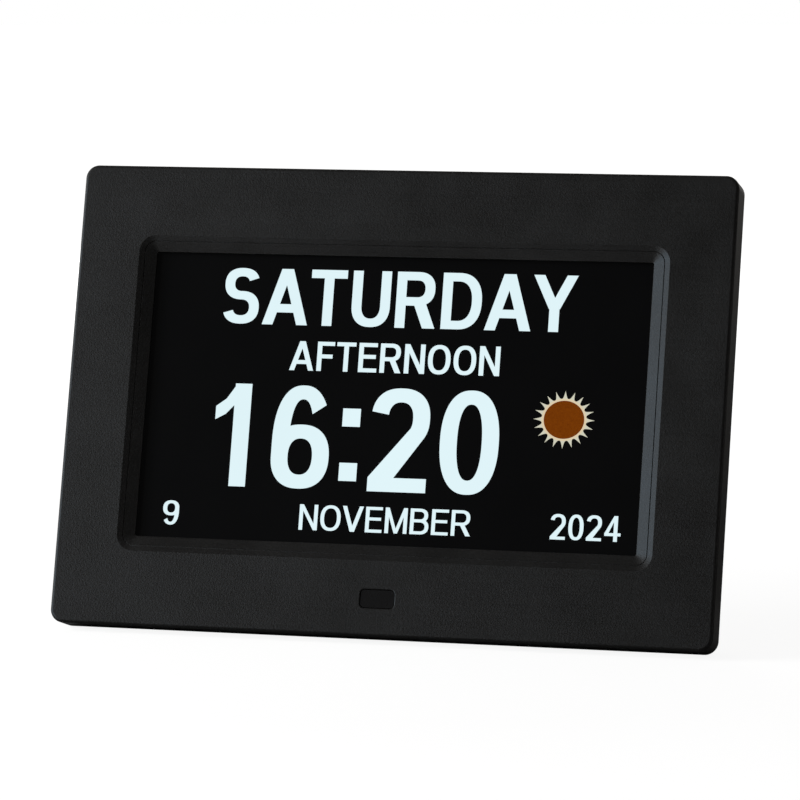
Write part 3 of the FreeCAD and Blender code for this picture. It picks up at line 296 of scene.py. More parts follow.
def letter_y(pen):
    """Two leaning strokes that meet on a short upright."""
    fork = 0.4
    tip = pen.width / 2 - 0.55 * pen.stem
    return [pen.post((pen.width - pen.stem) / 2, 0, fork + 0.05), pen.slant(tip, 0, fork),
            pen.slant(tip, pen.width - 1.1 * pen.stem, fork)]


def digit_1(pen):
    """An upright with a bent flag from its top to the left."""
    post = 0.42 * pen.width
    return [pen.post(post), stroke([(0.06 * pen.width, 0.775), (0.26 * pen.width, 0.85), (post + 0.02, 1.0)],
                                   [(0.06 * pen.width, 0.645), (0.26 * pen.width, 0.7), (post + 0.02, 0.81)])]


def digit_2(pen):
    """A bowl, a stroke from its end down to the left corner, and a bar."""
    bowl = pen.bow(0, pen.width, 0.42, 1, -36, 168)
    foot = [(0.44 * pen.width, pen.beam), (0, pen.beam)]
    return [bowl, stroke([bowl[0, 0], foot[0]], [bowl[0, 1], foot[1]]), pen.bar(0)]


def digit_4(pen):
    """An upright, a bar, and a leaning stroke from the bar's left end to the upright's top."""
    post = 0.56 * pen.width
    shelf = 0.215
    ledge = shelf + pen.beam
    return [pen.post(post), pen.bar(shelf), stroke([(0, ledge - 0.02), (post, 1)], [(0.24 * pen.width, ledge - 0.02),
                                                                                   (post, 0.76)])]


def digit_6(pen):
    """A closed lower bow, and the upper left part of a bow of the full height."""
    return [pen.bow(0, pen.width, 0, 0.62), pen.post(0, 0.28, 0.45),
            pen.bow(0, pen.width, -0.14, 1, 40, 182)]


def digit_9(pen):
    """A six turned half round."""
    return [(pen.width, 1) - part for part in digit_6(pen)]


def colon(pen):
    """Two squares, one above the other."""
    side = 0.175
    return [pen.box(0, side, low, low + side) for low in (0.09, 0.615)]


# each letter's width in shares of its height, and its strokes
LETTERS = {
    "A": (0.86, letter_a), "B": (0.72, letter_b), "D": (0.74, letter_d), "E": (0.65, letter_e), "F": (0.61, letter_f),
    "M": (0.86, letter_m), "N": (0.72, letter_n), "O": (0.79, letter_o), "R": (0.75, letter_r), "S": (0.68, letter_s),
    "T": (0.68, letter_t), "U": (0.72, letter_u), "V": (0.82, letter_v), "Y": (0.82, letter_y),
    "0": (0.57, letter_o), "1": (0.50, digit_1), "2": (0.57, digit_2), "4": (0.61, digit_4), "6": (0.57, digit_6),
    "9": (0.57, digit_9), ":": (0.175, colon),
}


def facing(flat):
    """The same strip with its rows in the order that turns its faces to the reader."""
    down, across = flat[1, 0] - flat[0, 0], flat[0, 1] - flat[0, 0]
    return flat if down[0] * across[1] > down[1] * across[0] else flat[::-1]


def word_strokes(word, weights):
    """The strokes of a word one unit high, letter after letter, and its length."""
    strokes = []
    x = 0.0
    for letter, following in zip(word, word[1:] + " "):
        width, draw = LETTERS[letter]
        strokes += [facing(part) + (x, 0) for part in draw(Pen(width, *weights))]
        x += width + LINE_GAP - CLOSER.get(letter + following, 0.0)
    return strokes, x - LINE_GAP


def on_front(flat, depth):
    """Flat shapes in x and up, set at a depth so that they face the front."""
    return np.stack([flat[..., 0], np.full(flat.shape[:-1], depth), flat[..., 1]], axis=-1)


def on_back(flat, x, up, depth):
    """Flat shapes drawn as seen from behind, set round a point of the back so that they face the back."""
    return np.stack([x - flat[..., 0], np.full(flat.shape[:-1], depth), up + flat[..., 1]], axis=-1)


# ---------------------------------------------------------------- node trees
def add(tree, kind, inputs=None, **settings):
    """Adds a shader node; inputs maps a socket's name or number to a value, or to the output that feeds it."""
    made = tree.nodes.new("ShaderNode" + kind)
    for key, value in settings.items():
        setattr(made, key, value)
    for key, value in (inputs or {}).items():
        if isinstance(value, bpy.types.NodeSocket):
            tree.links.new(value, made.inputs[key])
        else:
            made.inputs[key].default_value = value
    return made


def blend(tree, share, first, second):
    """A colour between two colours or colour outputs."""
    return add(tree, "Mix", {0: share, 6: first, 7: second}, data_type="RGBA").outputs[2]


def spread(tree, value, low, high, start=0.0, end=1.0):
    """A value that goes from low to high while the input goes from start to end."""
    return add(tree, "MapRange", {"Value": value, "From Min": start, "From Max": end, "To Min": low,
                                  "To Max": high}).outputs[0]


def maths(tree, operation, first, second):
    """One step of arithmetic on values or outputs."""
    return add(tree, "Math", {0: first, 1: second}, operation=operation).outputs[0]


def object_points(tree, size_mm, stretch=(1.0, 1.0, 1.0)):
    """Object coordinates scaled so that one unit is size_mm long, times the stretch along each axis."""
    place = add(tree, "TexCoord").outputs["Object"]
    scale = [1 / (size_mm * MM * share) for share in stretch]
    return add(tree, "Mapping", {"Vector": place, "Scale": scale}).outputs[0]


def shade(colour, factor):
    """A colour with every channel times a factor, and full alpha."""
    return tuple(channel * factor for channel in colour[:3]) + (1.0,)


def new_group(name, inputs, outputs):
    """An empty node group with number inputs (name: value) and outputs (name: socket type)."""
    tree = bpy.data.node_groups.new(name, "ShaderNodeTree")
    for label, value in inputs.items():
        tree.interface.new_socket(label, in_out="INPUT", socket_type="NodeSocketFloat").default_value = value
    for label, kind in outputs.items():
        tree.interface.new_socket(label, in_out="OUTPUT", socket_type=kind)
    entry = tree.nodes.new("NodeGroupInput")
    result = tree.nodes.new("NodeGroupOutput")
    return tree, entry.outputs, result.inputs


def grain_group():
    """Spark-eroded grain: fine noise and shallow pits at Size mm, and a tone that runs in faint level streaks."""
    tree, entry, result = new_group("moulded_grain", {"Size": 0.4, "Streaks": 0.5},
                                    {"Height": "NodeSocketFloat", "Tone": "NodeSocketFloat"})
    place = add(tree, "TexCoord").outputs["Object"]
    per_metre = maths(tree, "DIVIDE", 1 / MM, entry["Size"])
    noise = add(tree, "TexNoise", {"Vector": place, "Scale": per_metre, "Detail": 3.0, "Roughness": 0.65})
    pits = add(tree, "TexVoronoi", {"Vector": place, "Scale": per_metre, "Randomness": 1.0})
    height = maths(tree, "MULTIPLY_ADD", pits.outputs["Distance"], 0.45)
    height.node.inputs[2].default_value = 0.0
    tree.links.new(noise.outputs["Fac"], height.node.inputs[2])
    tree.links.new(height, result["Height"])
    level = object_points(tree, 1.0, (40.0, 0.5, 0.5))
    streak = add(tree, "TexNoise", {"Vector": level, "Scale": 1.0, "Detail": 2.0, "Roughness": 0.5}).outputs["Fac"]
    cloud = add(tree, "TexNoise", {"Vector": place, "Scale": 60.0, "Detail": 2.0}).outputs["Fac"]
    tone = add(tree, "Mix", {0: entry["Streaks"], 2: cloud, 3: streak}).outputs[0]
    tree.links.new(tone, result["Tone"])
    return tree


def edge_group():
    """Rubbed edges: one where a rounded normal leaves the true one within Radius, broken up by fine noise."""
    tree, entry, result = new_group("rubbed_edge", {"Radius": 0.0006}, {"Mask": "NodeSocketFloat"})
    rounded = add(tree, "Bevel", {"Radius": entry["Radius"]}, samples=4).outputs[0]
    true = add(tree, "NewGeometry").outputs["Normal"]
    same = add(tree, "VectorMath", {0: rounded, 1: true}, operation="DOT_PRODUCT").outputs["Value"]
    turned = spread(tree, same, 1.0, 0.0, 0.75, 0.995)
    place = add(tree, "TexCoord").outputs["Object"]
    patches = add(tree, "TexNoise", {"Vector": place, "Scale": 300.0, "Detail": 4.0}).outputs["Fac"]
    mask = maths(tree, "MULTIPLY", turned, spread(tree, patches, 0.2, 1.0, 0.4, 0.62))
    tree.links.new(mask, result["Mask"])
    return tree


def drawn_group():
    """Drawn or rolled metal: noise stretched along x, as a height and as a tone."""
    tree, entry, result = new_group("drawn_metal", {"Size": 0.2}, {"Height": "NodeSocketFloat",
                                                                   "Tone": "NodeSocketFloat"})
    place = add(tree, "TexCoord").outputs["Object"]
    per_metre = maths(tree, "DIVIDE", 1 / MM, entry["Size"])
    lines = add(tree, "Mapping", {"Vector": place, "Scale": (0.03, 1.0, 1.0)}).outputs[0]
    height = add(tree, "TexNoise", {"Vector": lines, "Scale": per_metre, "Detail": 3.0}).outputs["Fac"]
    tone = add(tree, "TexNoise", {"Vector": place, "Scale": 180.0, "Detail": 3.0}).outputs["Fac"]
    tree.links.new(height, result["Height"])
    tree.links.new(tone, result["Tone"])
    return tree


def backlight_group():
    """Evenness of the display's light: slow clouds that dim the light by a few hundredths."""
    tree, entry, result = new_group("backlight", {"Depth": 0.06}, {"Level": "NodeSocketFloat"})
    place = add(tree, "TexCoord").outputs["Object"]
    clouds = add(tree, "TexNoise", {"Vector": place, "Scale": 22.0, "Detail": 1.0}).outputs["Fac"]
    dip = maths(tree, "MULTIPLY", clouds, entry["Depth"])
    tree.links.new(maths(tree, "SUBTRACT", 1.0, dip), result["Level"])
    return tree


GRAIN = grain_group()
EDGE = edge_group()
DRAWN = drawn_group()
BACKLIGHT = backlight_group()


def new_material(name, constants):
    """A material with its Principled shader; constants are set on the shader's own sockets."""
    material = bpy.data.materials.new(name)
    material.use_nodes = True
    tree = material.node_tree
    shader = tree.nodes["Principled BSDF"]
    for socket, value in constants.items():
        shader.inputs[socket].default_value = value
    return material, tree, shader


def connect(tree, shader, colour, roughness=None, height=None, depth_mm=0.02):
    """Feeds the shader's colour and roughness, and its normal from a height of depth_mm."""
    tree.links.new(colour, shader.inputs["Base Color"])
    if roughness is not None:
        tree.links.new(roughness, shader.inputs["Roughness"])
    if height is not None:
        bump = add(tree, "Bump", {"Height": height, "Distance": depth_mm * MM})
        tree.links.new(bump.outputs[0], shader.inputs["Normal"])


# ---------------------------------------------------------------- finishes
def moulded(name, colour, rough, grain_mm, depth_mm, streaks=0.3, rub_mm=0.5, gloss=0.5, speckle=0.3):
    """Moulded plastic: grain in the surface, a tone that wanders and edges rubbed smoother and paler."""
    material, tree, shader = new_material(name, {"Specular IOR Level": gloss})
    grain = add(tree, "Group", {"Size": grain_mm, "Streaks": streaks}, node_tree=GRAIN)
    rubbed = add(tree, "Group", {"Radius": rub_mm * MM}, node_tree=EDGE).outputs["Mask"]
    tone = grain.outputs["Tone"]
    body = blend(tree, spread(tree, tone, 0.0, 1.0, 0.3, 0.7), shade(colour, 0.8), shade(colour, 1.2))
    fine = spread(tree, grain.outputs["Height"], 1 - speckle, 1 + speckle, 0.35, 0.9)
    speckled = add(tree, "VectorMath", {0: body, "Scale": fine}, operation="SCALE").outputs[0]
    colour_out = blend(tree, maths(tree, "MULTIPLY", rubbed, 0.5), speckled, shade(colour, 2.2))
    dull = spread(tree, tone, rough - 0.04, rough + 0.05, 0.3, 0.7)
    roughness = maths(tree, "MULTIPLY_ADD", rubbed, -0.15)
    tree.links.new(dull, roughness.node.inputs[2])
    connect(tree, shader, colour_out, roughness, grain.outputs["Height"], depth_mm)
    return material


def front_plastic():
    """The front shell and its sunk border: fine grain, nearly black, with a soft gloss."""
    return moulded("fine_matte_black", (0.0097, 0.0095, 0.0094), 0.33, 0.5, 0.045, streaks=0.3, rub_mm=0.3,
                   gloss=0.27, speckle=0.5)


def back_plastic():
    """The rear cover and the leg: coarser grain and a duller black."""
    return moulded("spark_textured_black", (0.016, 0.016, 0.017), 0.55, 0.7, 0.045, streaks=0.1, rub_mm=0.6)


def key_plastic():
    """The keys: smooth and a little greyer."""
    return moulded("satin_key_black", (0.022, 0.022, 0.023), 0.38, 0.3, 0.006, streaks=0.0, rub_mm=0.5)


def dark_plastic():
    """Black connectors and switches."""
    return moulded("connector_black", (0.018, 0.018, 0.018), 0.45, 0.25, 0.008, streaks=0.0, rub_mm=0.2)


def pale_plastic():
    """Cream connectors."""
    return moulded("connector_cream", (0.66, 0.62, 0.50), 0.42, 0.25, 0.006, streaks=0.0, rub_mm=0.2)


def chip_black():
    """The chips' dull moulded bodies."""
    return moulded("moulded_epoxy", (0.020, 0.020, 0.021), 0.6, 0.12, 0.010, streaks=0.0, rub_mm=0.15)


def smoked_plastic():
    """Polished dark plastic that lets infrared through: near-black with a soft gloss."""
    material, tree, shader = new_material("smoked_window", {"Specular IOR Level": 0.2})
    grain = add(tree, "Group", {"Size": 1.4, "Streaks": 0.0}, node_tree=GRAIN)
    tone = grain.outputs["Tone"]
    colour = blend(tree, tone, (0.0035, 0.0033, 0.0035, 1.0), (0.0055, 0.0052, 0.0055, 1.0))
    connect(tree, shader, colour, spread(tree, tone, 0.22, 0.34), grain.outputs["Height"], 0.004)
    return material


def foam():
    """Closed-cell foam: rounded cells a third of a millimetre wide."""
    material, tree, shader = new_material("gasket_foam", {"Specular IOR Level": 0.2})
    cells = add(tree, "TexVoronoi", {"Vector": object_points(tree, 0.35)}, feature="SMOOTH_F1").outputs["Distance"]
    colour = blend(tree, cells, (0.004, 0.004, 0.004, 1.0), (0.012, 0.012, 0.012, 1.0))
    connect(tree, shader, colour, spread(tree, cells, 0.85, 0.98), cells, 0.12)
    return material


def metal(name, colour, rough, size_mm, depth_mm=0.004):
    """Metal with fine drawing lines and a tone that drifts a little."""
    material, tree, shader = new_material(name, {"Metallic": 1.0})
    drawn = add(tree, "Group", {"Size": size_mm}, node_tree=DRAWN)
    rubbed = add(tree, "Group", {"Radius": 0.2 * MM}, node_tree=EDGE).outputs["Mask"]
    body = blend(tree, drawn.outputs["Tone"], shade(colour, 0.8), shade(colour, 1.1))
    colour_out = blend(tree, maths(tree, "MULTIPLY", rubbed, 0.6), body, shade(colour, 1.25))
    roughness = spread(tree, drawn.outputs["Height"], rough - 0.07, rough + 0.09, 0.3, 0.7)
    connect(tree, shader, colour_out, roughness, drawn.outputs["Height"], depth_mm)
    return material


def steel_sheet():
    """The display's frame and clamps, and the loudspeaker's basket."""
    return metal("rolled_steel", (0.52, 0.52, 0.53), 0.36, 0.25)


def screw_steel():
    """Zinc-plated screws."""
    return metal("zinc_screws", (0.36, 0.36, 0.37), 0.34, 0.10, 0.003)


def bright_metal():
    """Nickel: sockets, the coin cell, the crystal's can and the hinge pin."""
    return metal("nickel", (0.70, 0.68, 0.62), 0.20, 0.15, 0.002)


def can_aluminium():
    """The capacitors' bright cans."""
    return metal("drawn_can", (0.74, 0.74, 0.76), 0.28, 0.12)


def magnet_grey():
    """The loudspeaker's pressed magnet."""
    return metal("ferrite", (0.10, 0.10, 0.11), 0.55, 0.5, 0.02)


def screen_glass():
    """The display's front: near-black glass with a matt coat, and the faint light that leaks through dark pixels."""
    material, tree, shader = new_material("display_glass", {"Specular IOR Level": 0.03, "Emission Strength": 1.0})
    level = add(tree, "Group", {"Depth": 0.35}, node_tree=BACKLIGHT).outputs["Level"]
    leak = blend(tree, level, (0.0006, 0.0006, 0.0006, 1.0), (0.0016, 0.0016, 0.0016, 1.0))
    tree.links.new(leak, shader.inputs["Emission Color"])
    grain = add(tree, "Group", {"Size": 0.12, "Streaks": 0.0}, node_tree=GRAIN)
    colour = blend(tree, grain.outputs["Tone"], (0.0012, 0.0012, 0.0014, 1.0), (0.0020, 0.0020, 0.0022, 1.0))
    connect(tree, shader, colour, spread(tree, grain.outputs["Tone"], 0.30, 0.36), grain.outputs["Height"], 0.001)
    return material


def clear_plastic():
    """The light guide: clear acrylic with rows of printed dots on its back."""
    material, tree, shader = new_material("clear_acrylic", {"Transmission Weight": 1.0, "IOR": 1.49})
    dots = add(tree, "TexVoronoi", {"Vector": object_points(tree, 1.2), "Randomness": 0.0}).outputs["Distance"]
    colour = blend(tree, spread(tree, dots, 1.0, 0.0, 0.2, 0.3), (0.90, 0.93, 0.94, 1.0), (0.98, 0.98, 0.98, 1.0))
    connect(tree, shader, colour, spread(tree, dots, 0.35, 0.05, 0.2, 0.3))
    return material


def circuit_board():
    """Green solder mask over square-cornered copper tracks, with tinned pads between them."""
    material, tree, shader = new_material("solder_mask", {"Coat Weight": 0.3})
    place = object_points(tree, 2.6)
    tracks = add(tree, "TexVoronoi", {"Vector": place}, distance="MANHATTAN", feature="F2").outputs["Distance"]
    lines = spread(tree, add(tree, "Math", {0: tracks, 1: 0.2}, operation="PINGPONG").outputs[0], 0.0, 1.0, 0.09, 0.12)
    pads = add(tree, "TexVoronoi", {"Vector": object_points(tree, 3.4), "Randomness": 0.85}).outputs["Distance"]
    pad = spread(tree, pads, 1.0, 0.0, 0.10, 0.13)
    mask = blend(tree, lines, (0.008, 0.075, 0.030, 1.0), (0.020, 0.150, 0.060, 1.0))
    colour = blend(tree, pad, mask, (0.62, 0.60, 0.54, 1.0))
    tree.links.new(pad, shader.inputs["Metallic"])
    connect(tree, shader, colour, spread(tree, lines, 0.42, 0.28), maths(tree, "ADD", lines, pad), 0.03)
    return material


def flat_cable(name, film, track):
    """A flat cable: film over parallel tracks that run down the board, one every millimetre of its width."""
    material, tree, shader = new_material(name, {"Coat Weight": 0.4})
    wave = add(tree, "TexWave", {"Vector": object_points(tree, 1.0), "Scale": 0.314}, bands_direction="X")
    stripe = spread(tree, wave.outputs["Fac"], 0.0, 1.0, 0.4, 0.6)
    cloud = add(tree, "TexNoise", {"Vector": object_points(tree, 6.0)}).outputs["Fac"]
    colour = blend(tree, stripe, shade(film, 1.0), blend(tree, cloud, shade(track, 0.85), shade(track, 1.15)))
    connect(tree, shader, colour, spread(tree, cloud, 0.25, 0.4), stripe, 0.02)
    return material


def paper_cone():
    """Pressed paper: short fibres that lie any way, and a soft fuzz."""
    material, tree, shader = new_material("pressed_paper", {"Specular IOR Level": 0.2, "Sheen Weight": 0.2})
    fibre = add(tree, "TexNoise", {"Vector": object_points(tree, 0.5, (3.0, 1.0, 1.0)), "Detail": 6.0,
                                   "Distortion": 2.5}).outputs["Fac"]
    colour = blend(tree, fibre, (0.015, 0.015, 0.015, 1.0), (0.07, 0.07, 0.068, 1.0))
    connect(tree, shader, colour, spread(tree, fibre, 0.8, 0.95), fibre, 0.05)
    return material


def lead_red():
    """Soft insulation with a faint twist of lines along it."""
    material, tree, shader = new_material("wire_insulation", {"Specular IOR Level": 0.4})
    cloud = add(tree, "TexNoise", {"Vector": object_points(tree, 1.5), "Detail": 3.0}).outputs["Fac"]
    colour = blend(tree, cloud, (0.36, 0.018, 0.016, 1.0), (0.52, 0.035, 0.030, 1.0))
    connect(tree, shader, colour, spread(tree, cloud, 0.38, 0.5), cloud, 0.02)
    return material


def foot_rubber():
    """Soft rubber with fine ribs across the foot and a bloom of pale dust in the grain."""
    material, tree, shader = new_material("foot_rubber", {"Specular IOR Level": 0.3})
    grain = add(tree, "Group", {"Size": 0.3, "Streaks": 0.0}, node_tree=GRAIN)
    ribs = add(tree, "TexWave", {"Vector": object_points(tree, 1.0), "Scale": 0.5}, bands_direction="Y").outputs["Fac"]
    colour = blend(tree, grain.outputs["Tone"], (0.012, 0.012, 0.012, 1.0), (0.030, 0.030, 0.029, 1.0))
    connect(tree, shader, colour, spread(tree, grain.outputs["Tone"], 0.7, 0.85),
            maths(tree, "ADD", ribs, grain.outputs["Height"]), 0.06)
    return material


def lit(name, colour, unevenness=0.06):
    """Lit pixels: the colour as light, through the same matt glass as the rest of the display."""
    material, tree, shader = new_material(name, {"Specular IOR Level": 0.03, "Roughness": 0.33,
                                                 "Emission Strength": 1.0})
    level = add(tree, "Group", {"Depth": unevenness}, node_tree=BACKLIGHT).outputs["Level"]
    tree.links.new(blend(tree, level, shade(colour, 0.0), shade(colour, 1.0)), shader.inputs["Emission Color"])
    tree.links.new(blend(tree, level, (0.001, 0.001, 0.001, 1.0), (0.002, 0.002, 0.002, 1.0)),
                   shader.inputs["Base Color"])
    return material


def sun_orange():
    """The sun's disc: burnt orange with small darker flecks, as light."""
    material, tree, shader = new_material("sun_orange", {"Specular IOR Level": 0.03, "Roughness": 0.33,
                                                         "Emission Strength": 1.0})
    flecks = add(tree, "TexNoise", {"Vector": object_points(tree, 0.9), "Detail": 4.0, "Roughness": 0.7}).outputs["Fac"]
    light = blend(tree, spread(tree, flecks, 0.0, 1.0, 0.4, 0.6), (0.115, 0.022, 0.0, 1.0), (0.205, 0.048, 0.001, 1.0))
    tree.links.new(light, shader.inputs["Emission Color"])
    tree.links.new(blend(tree, flecks, (0.001, 0.001, 0.001, 1.0), (0.002, 0.002, 0.002, 1.0)),
                   shader.inputs["Base Color"])
    return material


def mark_ink():
    """Pale grey ink, thin enough to let the grain of the plastic through."""
    material, tree, shader = new_material("printed_ink", {"Specular IOR Level": 0.3})
    grain = add(tree, "Group", {"Size": 0.35, "Streaks": 0.0}, node_tree=GRAIN)
    patchy = spread(tree, grain.outputs["Height"], 0.0, 1.0, 0.45, 0.85)
    colour = blend(tree, patchy, (0.30, 0.30, 0.30, 1.0), (0.42, 0.42, 0.42, 1.0))
    connect(tree, shader, colour, spread(tree, grain.outputs["Tone"], 0.5, 0.65), grain.outputs["Height"], 0.02)
    return material


FINISHES = {
    "front_plastic": front_plastic(), "back_plastic": back_plastic(), "key_plastic": key_plastic(),
    "smoked_plastic": smoked_plastic(), "foam": foam(), "steel_sheet": steel_sheet(),
    "screen_glass": screen_glass(), "clear_plastic": clear_plastic(), "screw_steel": screw_steel(),
    "circuit_board": circuit_board(), "chip_black": chip_black(), "bright_metal": bright_metal(),
    "can_aluminium": can_aluminium(), "dark_plastic": dark_plastic(), "pale_plastic": pale_plastic(),
    "ribbon_amber": flat_cable("amber_film", (0.16, 0.065, 0.012), (0.24, 0.10, 0.025)),
    "paper_cone": paper_cone(), "magnet_grey": magnet_grey(), "lead_red": lead_red(),
    "foot_rubber": foot_rubber(),
}
OWN_FINISHES = {"key_ribbon": flat_cable("white_film", (0.70, 0.69, 0.64), (0.50, 0.50, 0.49))}


def dress_nodes():
    """Gives every CAD node the finish of its material slot, or its own."""
    for part in frame["record"]["subparts"]:
        node = part["node"]
        mesh = frame["nodes"][node].data
        mesh.materials.clear()
        mesh.materials.append(OWN_FINISHES.get(node, FINISHES[part["material_slot"]]))


# ---------------------------------------------------------------- the display's page
def page_lines():
    """Each line of words, stretched from its left end to its right end."""
    white = lit("page_white", (0.765, 0.93, 0.97))
    depth = extent("lcd_glass")[0][1] - PAGE_LIFT
    for name, word, left, right, base, height, weights in PAGE_LINES:
        strokes, length = word_strokes(word, weights)
        size = ((right - left) / length, height)
        make_piece(name, [on_front(part * size + (left, base), depth) for part in strokes], white)


def page_sun():
    """A disc, a narrow ring and the rays, all a little flat: the rays' outer edge is the ring's radius plus a peak
    that is a power of a saw-tooth, with 12 points to a ray."""
    depth = extent("lcd_glass")[0][1] - PAGE_LIFT
    middle = (SUN_X, SUN_UP)
    half = np.radians(np.linspace(-88, 88, 61))
    disc = stroke(np.stack([-np.cos(half), np.sin(half) * SUN_HEIGHT], axis=1) * SUN_DISC + middle,
                  np.stack([np.cos(half), np.sin(half) * SUN_HEIGHT], axis=1) * SUN_DISC + middle)
    turn = np.linspace(0, 2 * math.pi, 12 * SUN_RAYS + 1)
    circle = np.stack([np.cos(turn), np.sin(turn) * SUN_HEIGHT], axis=1)
    peak = np.abs(turn * SUN_RAYS / math.pi % 2 - 1) ** SUN_SHARPNESS
    edge = SUN_RING + (SUN_REACH - SUN_RING) * peak[:, None]
    rays = stroke(circle * edge + middle, circle * SUN_RING + middle)
    ring = stroke(circle * SUN_RING + middle, circle * SUN_DISC + middle)
    make_piece("sun_disc", [on_front(facing(disc), depth)], sun_orange())
    make_piece("sun_ring", [on_front(facing(ring), depth)], lit("sun_peach", (0.74, 0.62, 0.42), 0.1))
    make_piece("sun_rays", [on_front(facing(rays), depth)], lit("sun_cream", (0.64, 0.63, 0.50), 0.1))


# ---------------------------------------------------------------- marks printed on the back
def mark_line(start, end):
    """A printed straight line with square ends."""
    start, end = np.array(start, float), np.array(end, float)
    along = (end - start) / np.linalg.norm(end - start)
    side = np.array([-along[1], along[0]]) * MARK_LINE / 2
    return stroke([start + side, end + side], [start - side, end - side])


def mark_ring(radius, start=0, end=360):
    """A printed circle or part of one, about the mark's middle."""
    turn = rounded_square(start, end, squareness=2.0)
    return stroke(turn * (radius + MARK_LINE / 2), turn * (radius - MARK_LINE / 2))


def mark_arrow(angle):
    """A filled triangle that points along an angle."""
    turn = math.radians(angle)
    ahead = np.array([math.cos(turn), math.sin(turn)]) * MARK_SIZE / 2
    aside = np.array([-ahead[1], ahead[0]])
    return stroke([aside - 0.7 * ahead, 0.02 * aside + 0.8 * ahead], [-aside - 0.7 * ahead, 0.8 * ahead - 0.02 * aside])


def key_signs():
    """What is printed above each key, drawn as seen from behind."""
    half = MARK_SIZE / 2
    return {
        "power": [mark_ring(half, 125, 415), mark_line((0, 0.1 * half), (0, 1.25 * half))],
        "menu": [mark_line((-half, y), (half, y)) for y in (-0.8 * half, 0.0, 0.8 * half)],
        "up": [mark_arrow(90)], "down": [mark_arrow(270)], "left": [mark_arrow(180)], "right": [mark_arrow(0)],
        "ok": [mark_ring(half), mark_ring(0.3 * half)],
    }


def mark_frame(wide, high):
    """A printed rectangle about the mark's middle."""
    x, y = wide / 2, high / 2
    over = MARK_LINE / 2
    return [mark_line((-x - over, -y), (x + over, -y)), mark_line((-x - over, y), (x + over, y)),
            mark_line((-x, -y), (-x, y)), mark_line((x, -y), (x, y))]


def socket_signs():
    """What is printed beside each socket: an inlet's pin in its collar, a plug with its tongue and a card."""
    return {
        "dc_socket": [mark_ring(1.9, 40, 320), mark_ring(0.5), mark_line((0.7, 0), (3.4, 0)),
                      mark_line((-3.6, 0), (-1.9, 0))],
        "usb_socket": [*mark_frame(4.8, 2.6), mark_line((-1.5, 0.35), (1.5, 0.35))],
        "card_socket": [*mark_frame(3.2, 4.2), mark_line((-0.9, 1.2), (0.9, 1.2))],
    }


def back_marks():
    """A sign above each key and one beside each socket, a little above the back face. The cover's walls slope inwards
    by the case's lean, so its back face ends the lean's tangent of its depth inside its front edge."""
    ink = mark_ink()
    low, high = extent("rear_cover")
    depth = high[1] + MARK_LIFT
    for key, strokes in key_signs().items():
        key_low, key_high = extent("key_" + key)
        x = (key_low[0] + key_high[0]) / 2
        up = key_high[2] + MARK_ABOVE_KEY
        make_piece("mark_" + key, [on_back(facing(part), x, up, depth) for part in strokes], ink)
    lean = math.acos(AXES[2][2])
    edge = -(high[0] - (high[1] - low[1]) * math.tan(lean))
    for node, strokes in socket_signs().items():
        node_low, node_high = extent(node)
        up = (node_low[2] + node_high[2]) / 2
        make_piece("mark_" + node, [on_back(facing(part), edge + PORT_MARK_EDGE, up, depth) for part in strokes],
                   ink)


# ---------------------------------------------------------------- studio
def studio_floor():
    """A wide pale floor; a camera ray gets a little light added, so that only the shadow is darker than white.
    Glossy surfaces see the floor near the clock's feet, and through it the studio further in front or behind."""
    material, tree, shader = new_material("studio_floor", {"Roughness": 0.9, "Specular IOR Level": 0.1})
    speckle = add(tree, "TexNoise", {"Vector": object_points(tree, 40.0), "Detail": 2.0}).outputs["Fac"]
    connect(tree, shader, blend(tree, speckle, (0.155, 0.155, 0.155, 1.0), (0.165, 0.165, 0.165, 1.0)))
    rays = add(tree, "LightPath").outputs
    seen = maths(tree, "MAXIMUM", rays["Is Camera Ray"], rays["Is Transmission Ray"])
    away = add(tree, "VectorMath", {0: add(tree, "TexCoord").outputs["Object"]}, operation="LENGTH")
    lift = spread(tree, away.outputs["Value"], 0.9, 1.0, 0.15, 0.7)
    glow = add(tree, "Emission", {"Color": (1.0, 1.0, 1.0, 1.0), "Strength": maths(tree, "MULTIPLY", seen, lift)})
    both = add(tree, "AddShader", {0: shader.outputs[0], 1: glow.outputs[0]})
    depth = add(tree, "SeparateXYZ", {0: add(tree, "TexCoord").outputs["Object"]}).outputs["Y"]
    past = spread(tree, add(tree, "Math", {0: depth}, operation="ABSOLUTE").outputs[0], 0.0, 1.0, *FLOOR_NEAR)
    through = maths(tree, "MULTIPLY", rays["Is Glossy Ray"], past)
    whole = add(tree, "MixShader", {0: through, 1: both.outputs[0], 2: add(tree, "BsdfTransparent").outputs[0]})
    tree.links.new(whole.outputs[0], tree.nodes["Material Output"].inputs["Surface"])
    angle = np.linspace(0, 2 * math.pi, 65)
    reach = np.array(FLOOR_RINGS)
    rings = np.stack([np.cos(angle)[:, None] * reach, np.sin(angle)[:, None] * reach,
                      np.zeros((angle.size, reach.size))], axis=-1)
    mesh = bpy.data.meshes.new("studio_floor")
    mesh.from_pydata(rings.reshape(-1, 3), [], grid_quads(angle.size, reach.size, 0)[:, ::-1])
    mesh.materials.append(material)
    floor = bpy.data.objects.new("studio_floor", mesh)
    bpy.context.scene.collection.objects.link(floor)


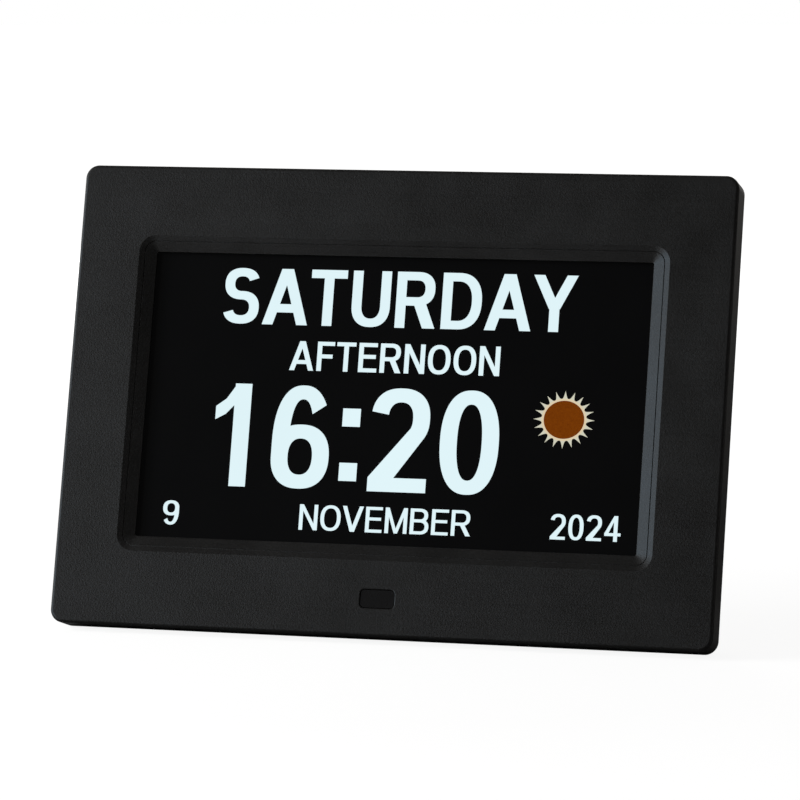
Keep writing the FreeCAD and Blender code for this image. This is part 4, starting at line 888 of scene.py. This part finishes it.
def studio_world():
    """White to the camera and through clear things, and even light on everything else. Glossy surfaces see a soft
    window that grows brighter towards its middle and is cool there, a faint ceiling, the white wall behind to the
    left, a dimmer wall high behind, the pale table, brighter further below, and a pale card low on the right."""
    world = bpy.data.worlds.new("studio")
    world.use_nodes = True
    bpy.context.scene.world = world
    tree = world.node_tree
    direction = add(tree, "TexCoord").outputs["Generated"]

    def nearness(side):
        """The cosine of the angle between the ray and a side."""
        unit = Vector(side).normalized()
        return add(tree, "VectorMath", {0: direction, 1: unit}, operation="DOT_PRODUCT").outputs["Value"]

    def soft_light(side, strength, begins, full):
        """Nothing outside the angle at which the light begins, and its full strength near its middle."""
        return spread(tree, nearness(side), 0.0, strength, begins, full)

    dim = spread(tree, nearness((0, -1, 0)), DARK_LIGHT, DIM_LIGHT, -0.6, 0.0)
    glossy = maths(tree, "ADD", soft_light(*WINDOW), maths(tree, "ADD", dim, soft_light(*CEILING)))
    for light in (LEFT_WALL, BACK_WALL, TABLE, RIGHT_CARD):
        glossy = maths(tree, "MAXIMUM", glossy, soft_light(*light))
    rays = add(tree, "LightPath").outputs
    seen = maths(tree, "MAXIMUM", rays["Is Camera Ray"], rays["Is Transmission Ray"])
    lit_by = add(tree, "Mix", {0: rays["Is Glossy Ray"], 2: EVEN_LIGHT, 3: glossy}).outputs[0]
    strength = add(tree, "Mix", {0: seen, 2: lit_by, 3: 1.0}).outputs[0]
    side, _, begins, full = WINDOW
    cool = spread(tree, nearness(side), 0.0, 1.0, begins + 0.4 * (full - begins), full)
    tint = blend(tree, cool, (1.0, 0.97, 0.93, 1.0), (0.76, 0.96, 1.14, 1.0))
    colour = blend(tree, seen, tint, (1.0, 1.0, 1.0, 1.0))
    tree.links.new(colour, tree.nodes["Background"].inputs["Color"])
    tree.links.new(strength, tree.nodes["Background"].inputs["Strength"])


def soft_lamp(name, place, size, power):
    """A square soft lamp, turned to the clock, that doesn't show in glossy surfaces."""
    light = bpy.data.lights.new(name, "AREA")
    light.shape = "SQUARE"
    light.size = size
    light.energy = power
    lamp = bpy.data.objects.new(name, light)
    bpy.context.scene.collection.objects.link(lamp)
    lamp.location = place
    lamp.rotation_euler = (Vector(CENTRE) - Vector(place)).to_track_quat("-Z", "Y").to_euler()
    lamp.visible_glossy = False


def studio_camera():
    """The camera looks along its azimuth and elevation, a little aside from the face's centre."""
    azimuth, elevation = math.radians(CAMERA_AZIMUTH), math.radians(CAMERA_ELEVATION)
    ahead = Vector((-math.sin(azimuth) * math.cos(elevation), math.cos(azimuth) * math.cos(elevation),
                    -math.sin(elevation)))
    right = Vector((math.cos(azimuth), math.sin(azimuth), 0.0))
    up = right.cross(ahead)
    place = Vector(CENTRE) - ahead * CAMERA_DISTANCE + right * CAMERA_RIGHT + up * CAMERA_UP
    lens = bpy.data.cameras.new("camera")
    lens.sensor_width = SENSOR
    lens.lens = LENS
    camera = bpy.data.objects.new("camera", lens)
    bpy.context.scene.collection.objects.link(camera)
    turn = Matrix((right, up, -ahead)).transposed().to_4x4()
    camera.matrix_world = Matrix.Translation(place) @ turn
    bpy.context.scene.camera = camera


def studio():
    """Floor, world, lamps and camera."""
    studio_floor()
    studio_world()
    for name, (place, size, power) in LAMPS.items():
        soft_lamp(name, place, size, power)
    studio_camera()
    bpy.context.scene.view_settings.view_transform = "Standard"


dress_nodes()
page_lines()
page_sun()
back_marks()
studio()
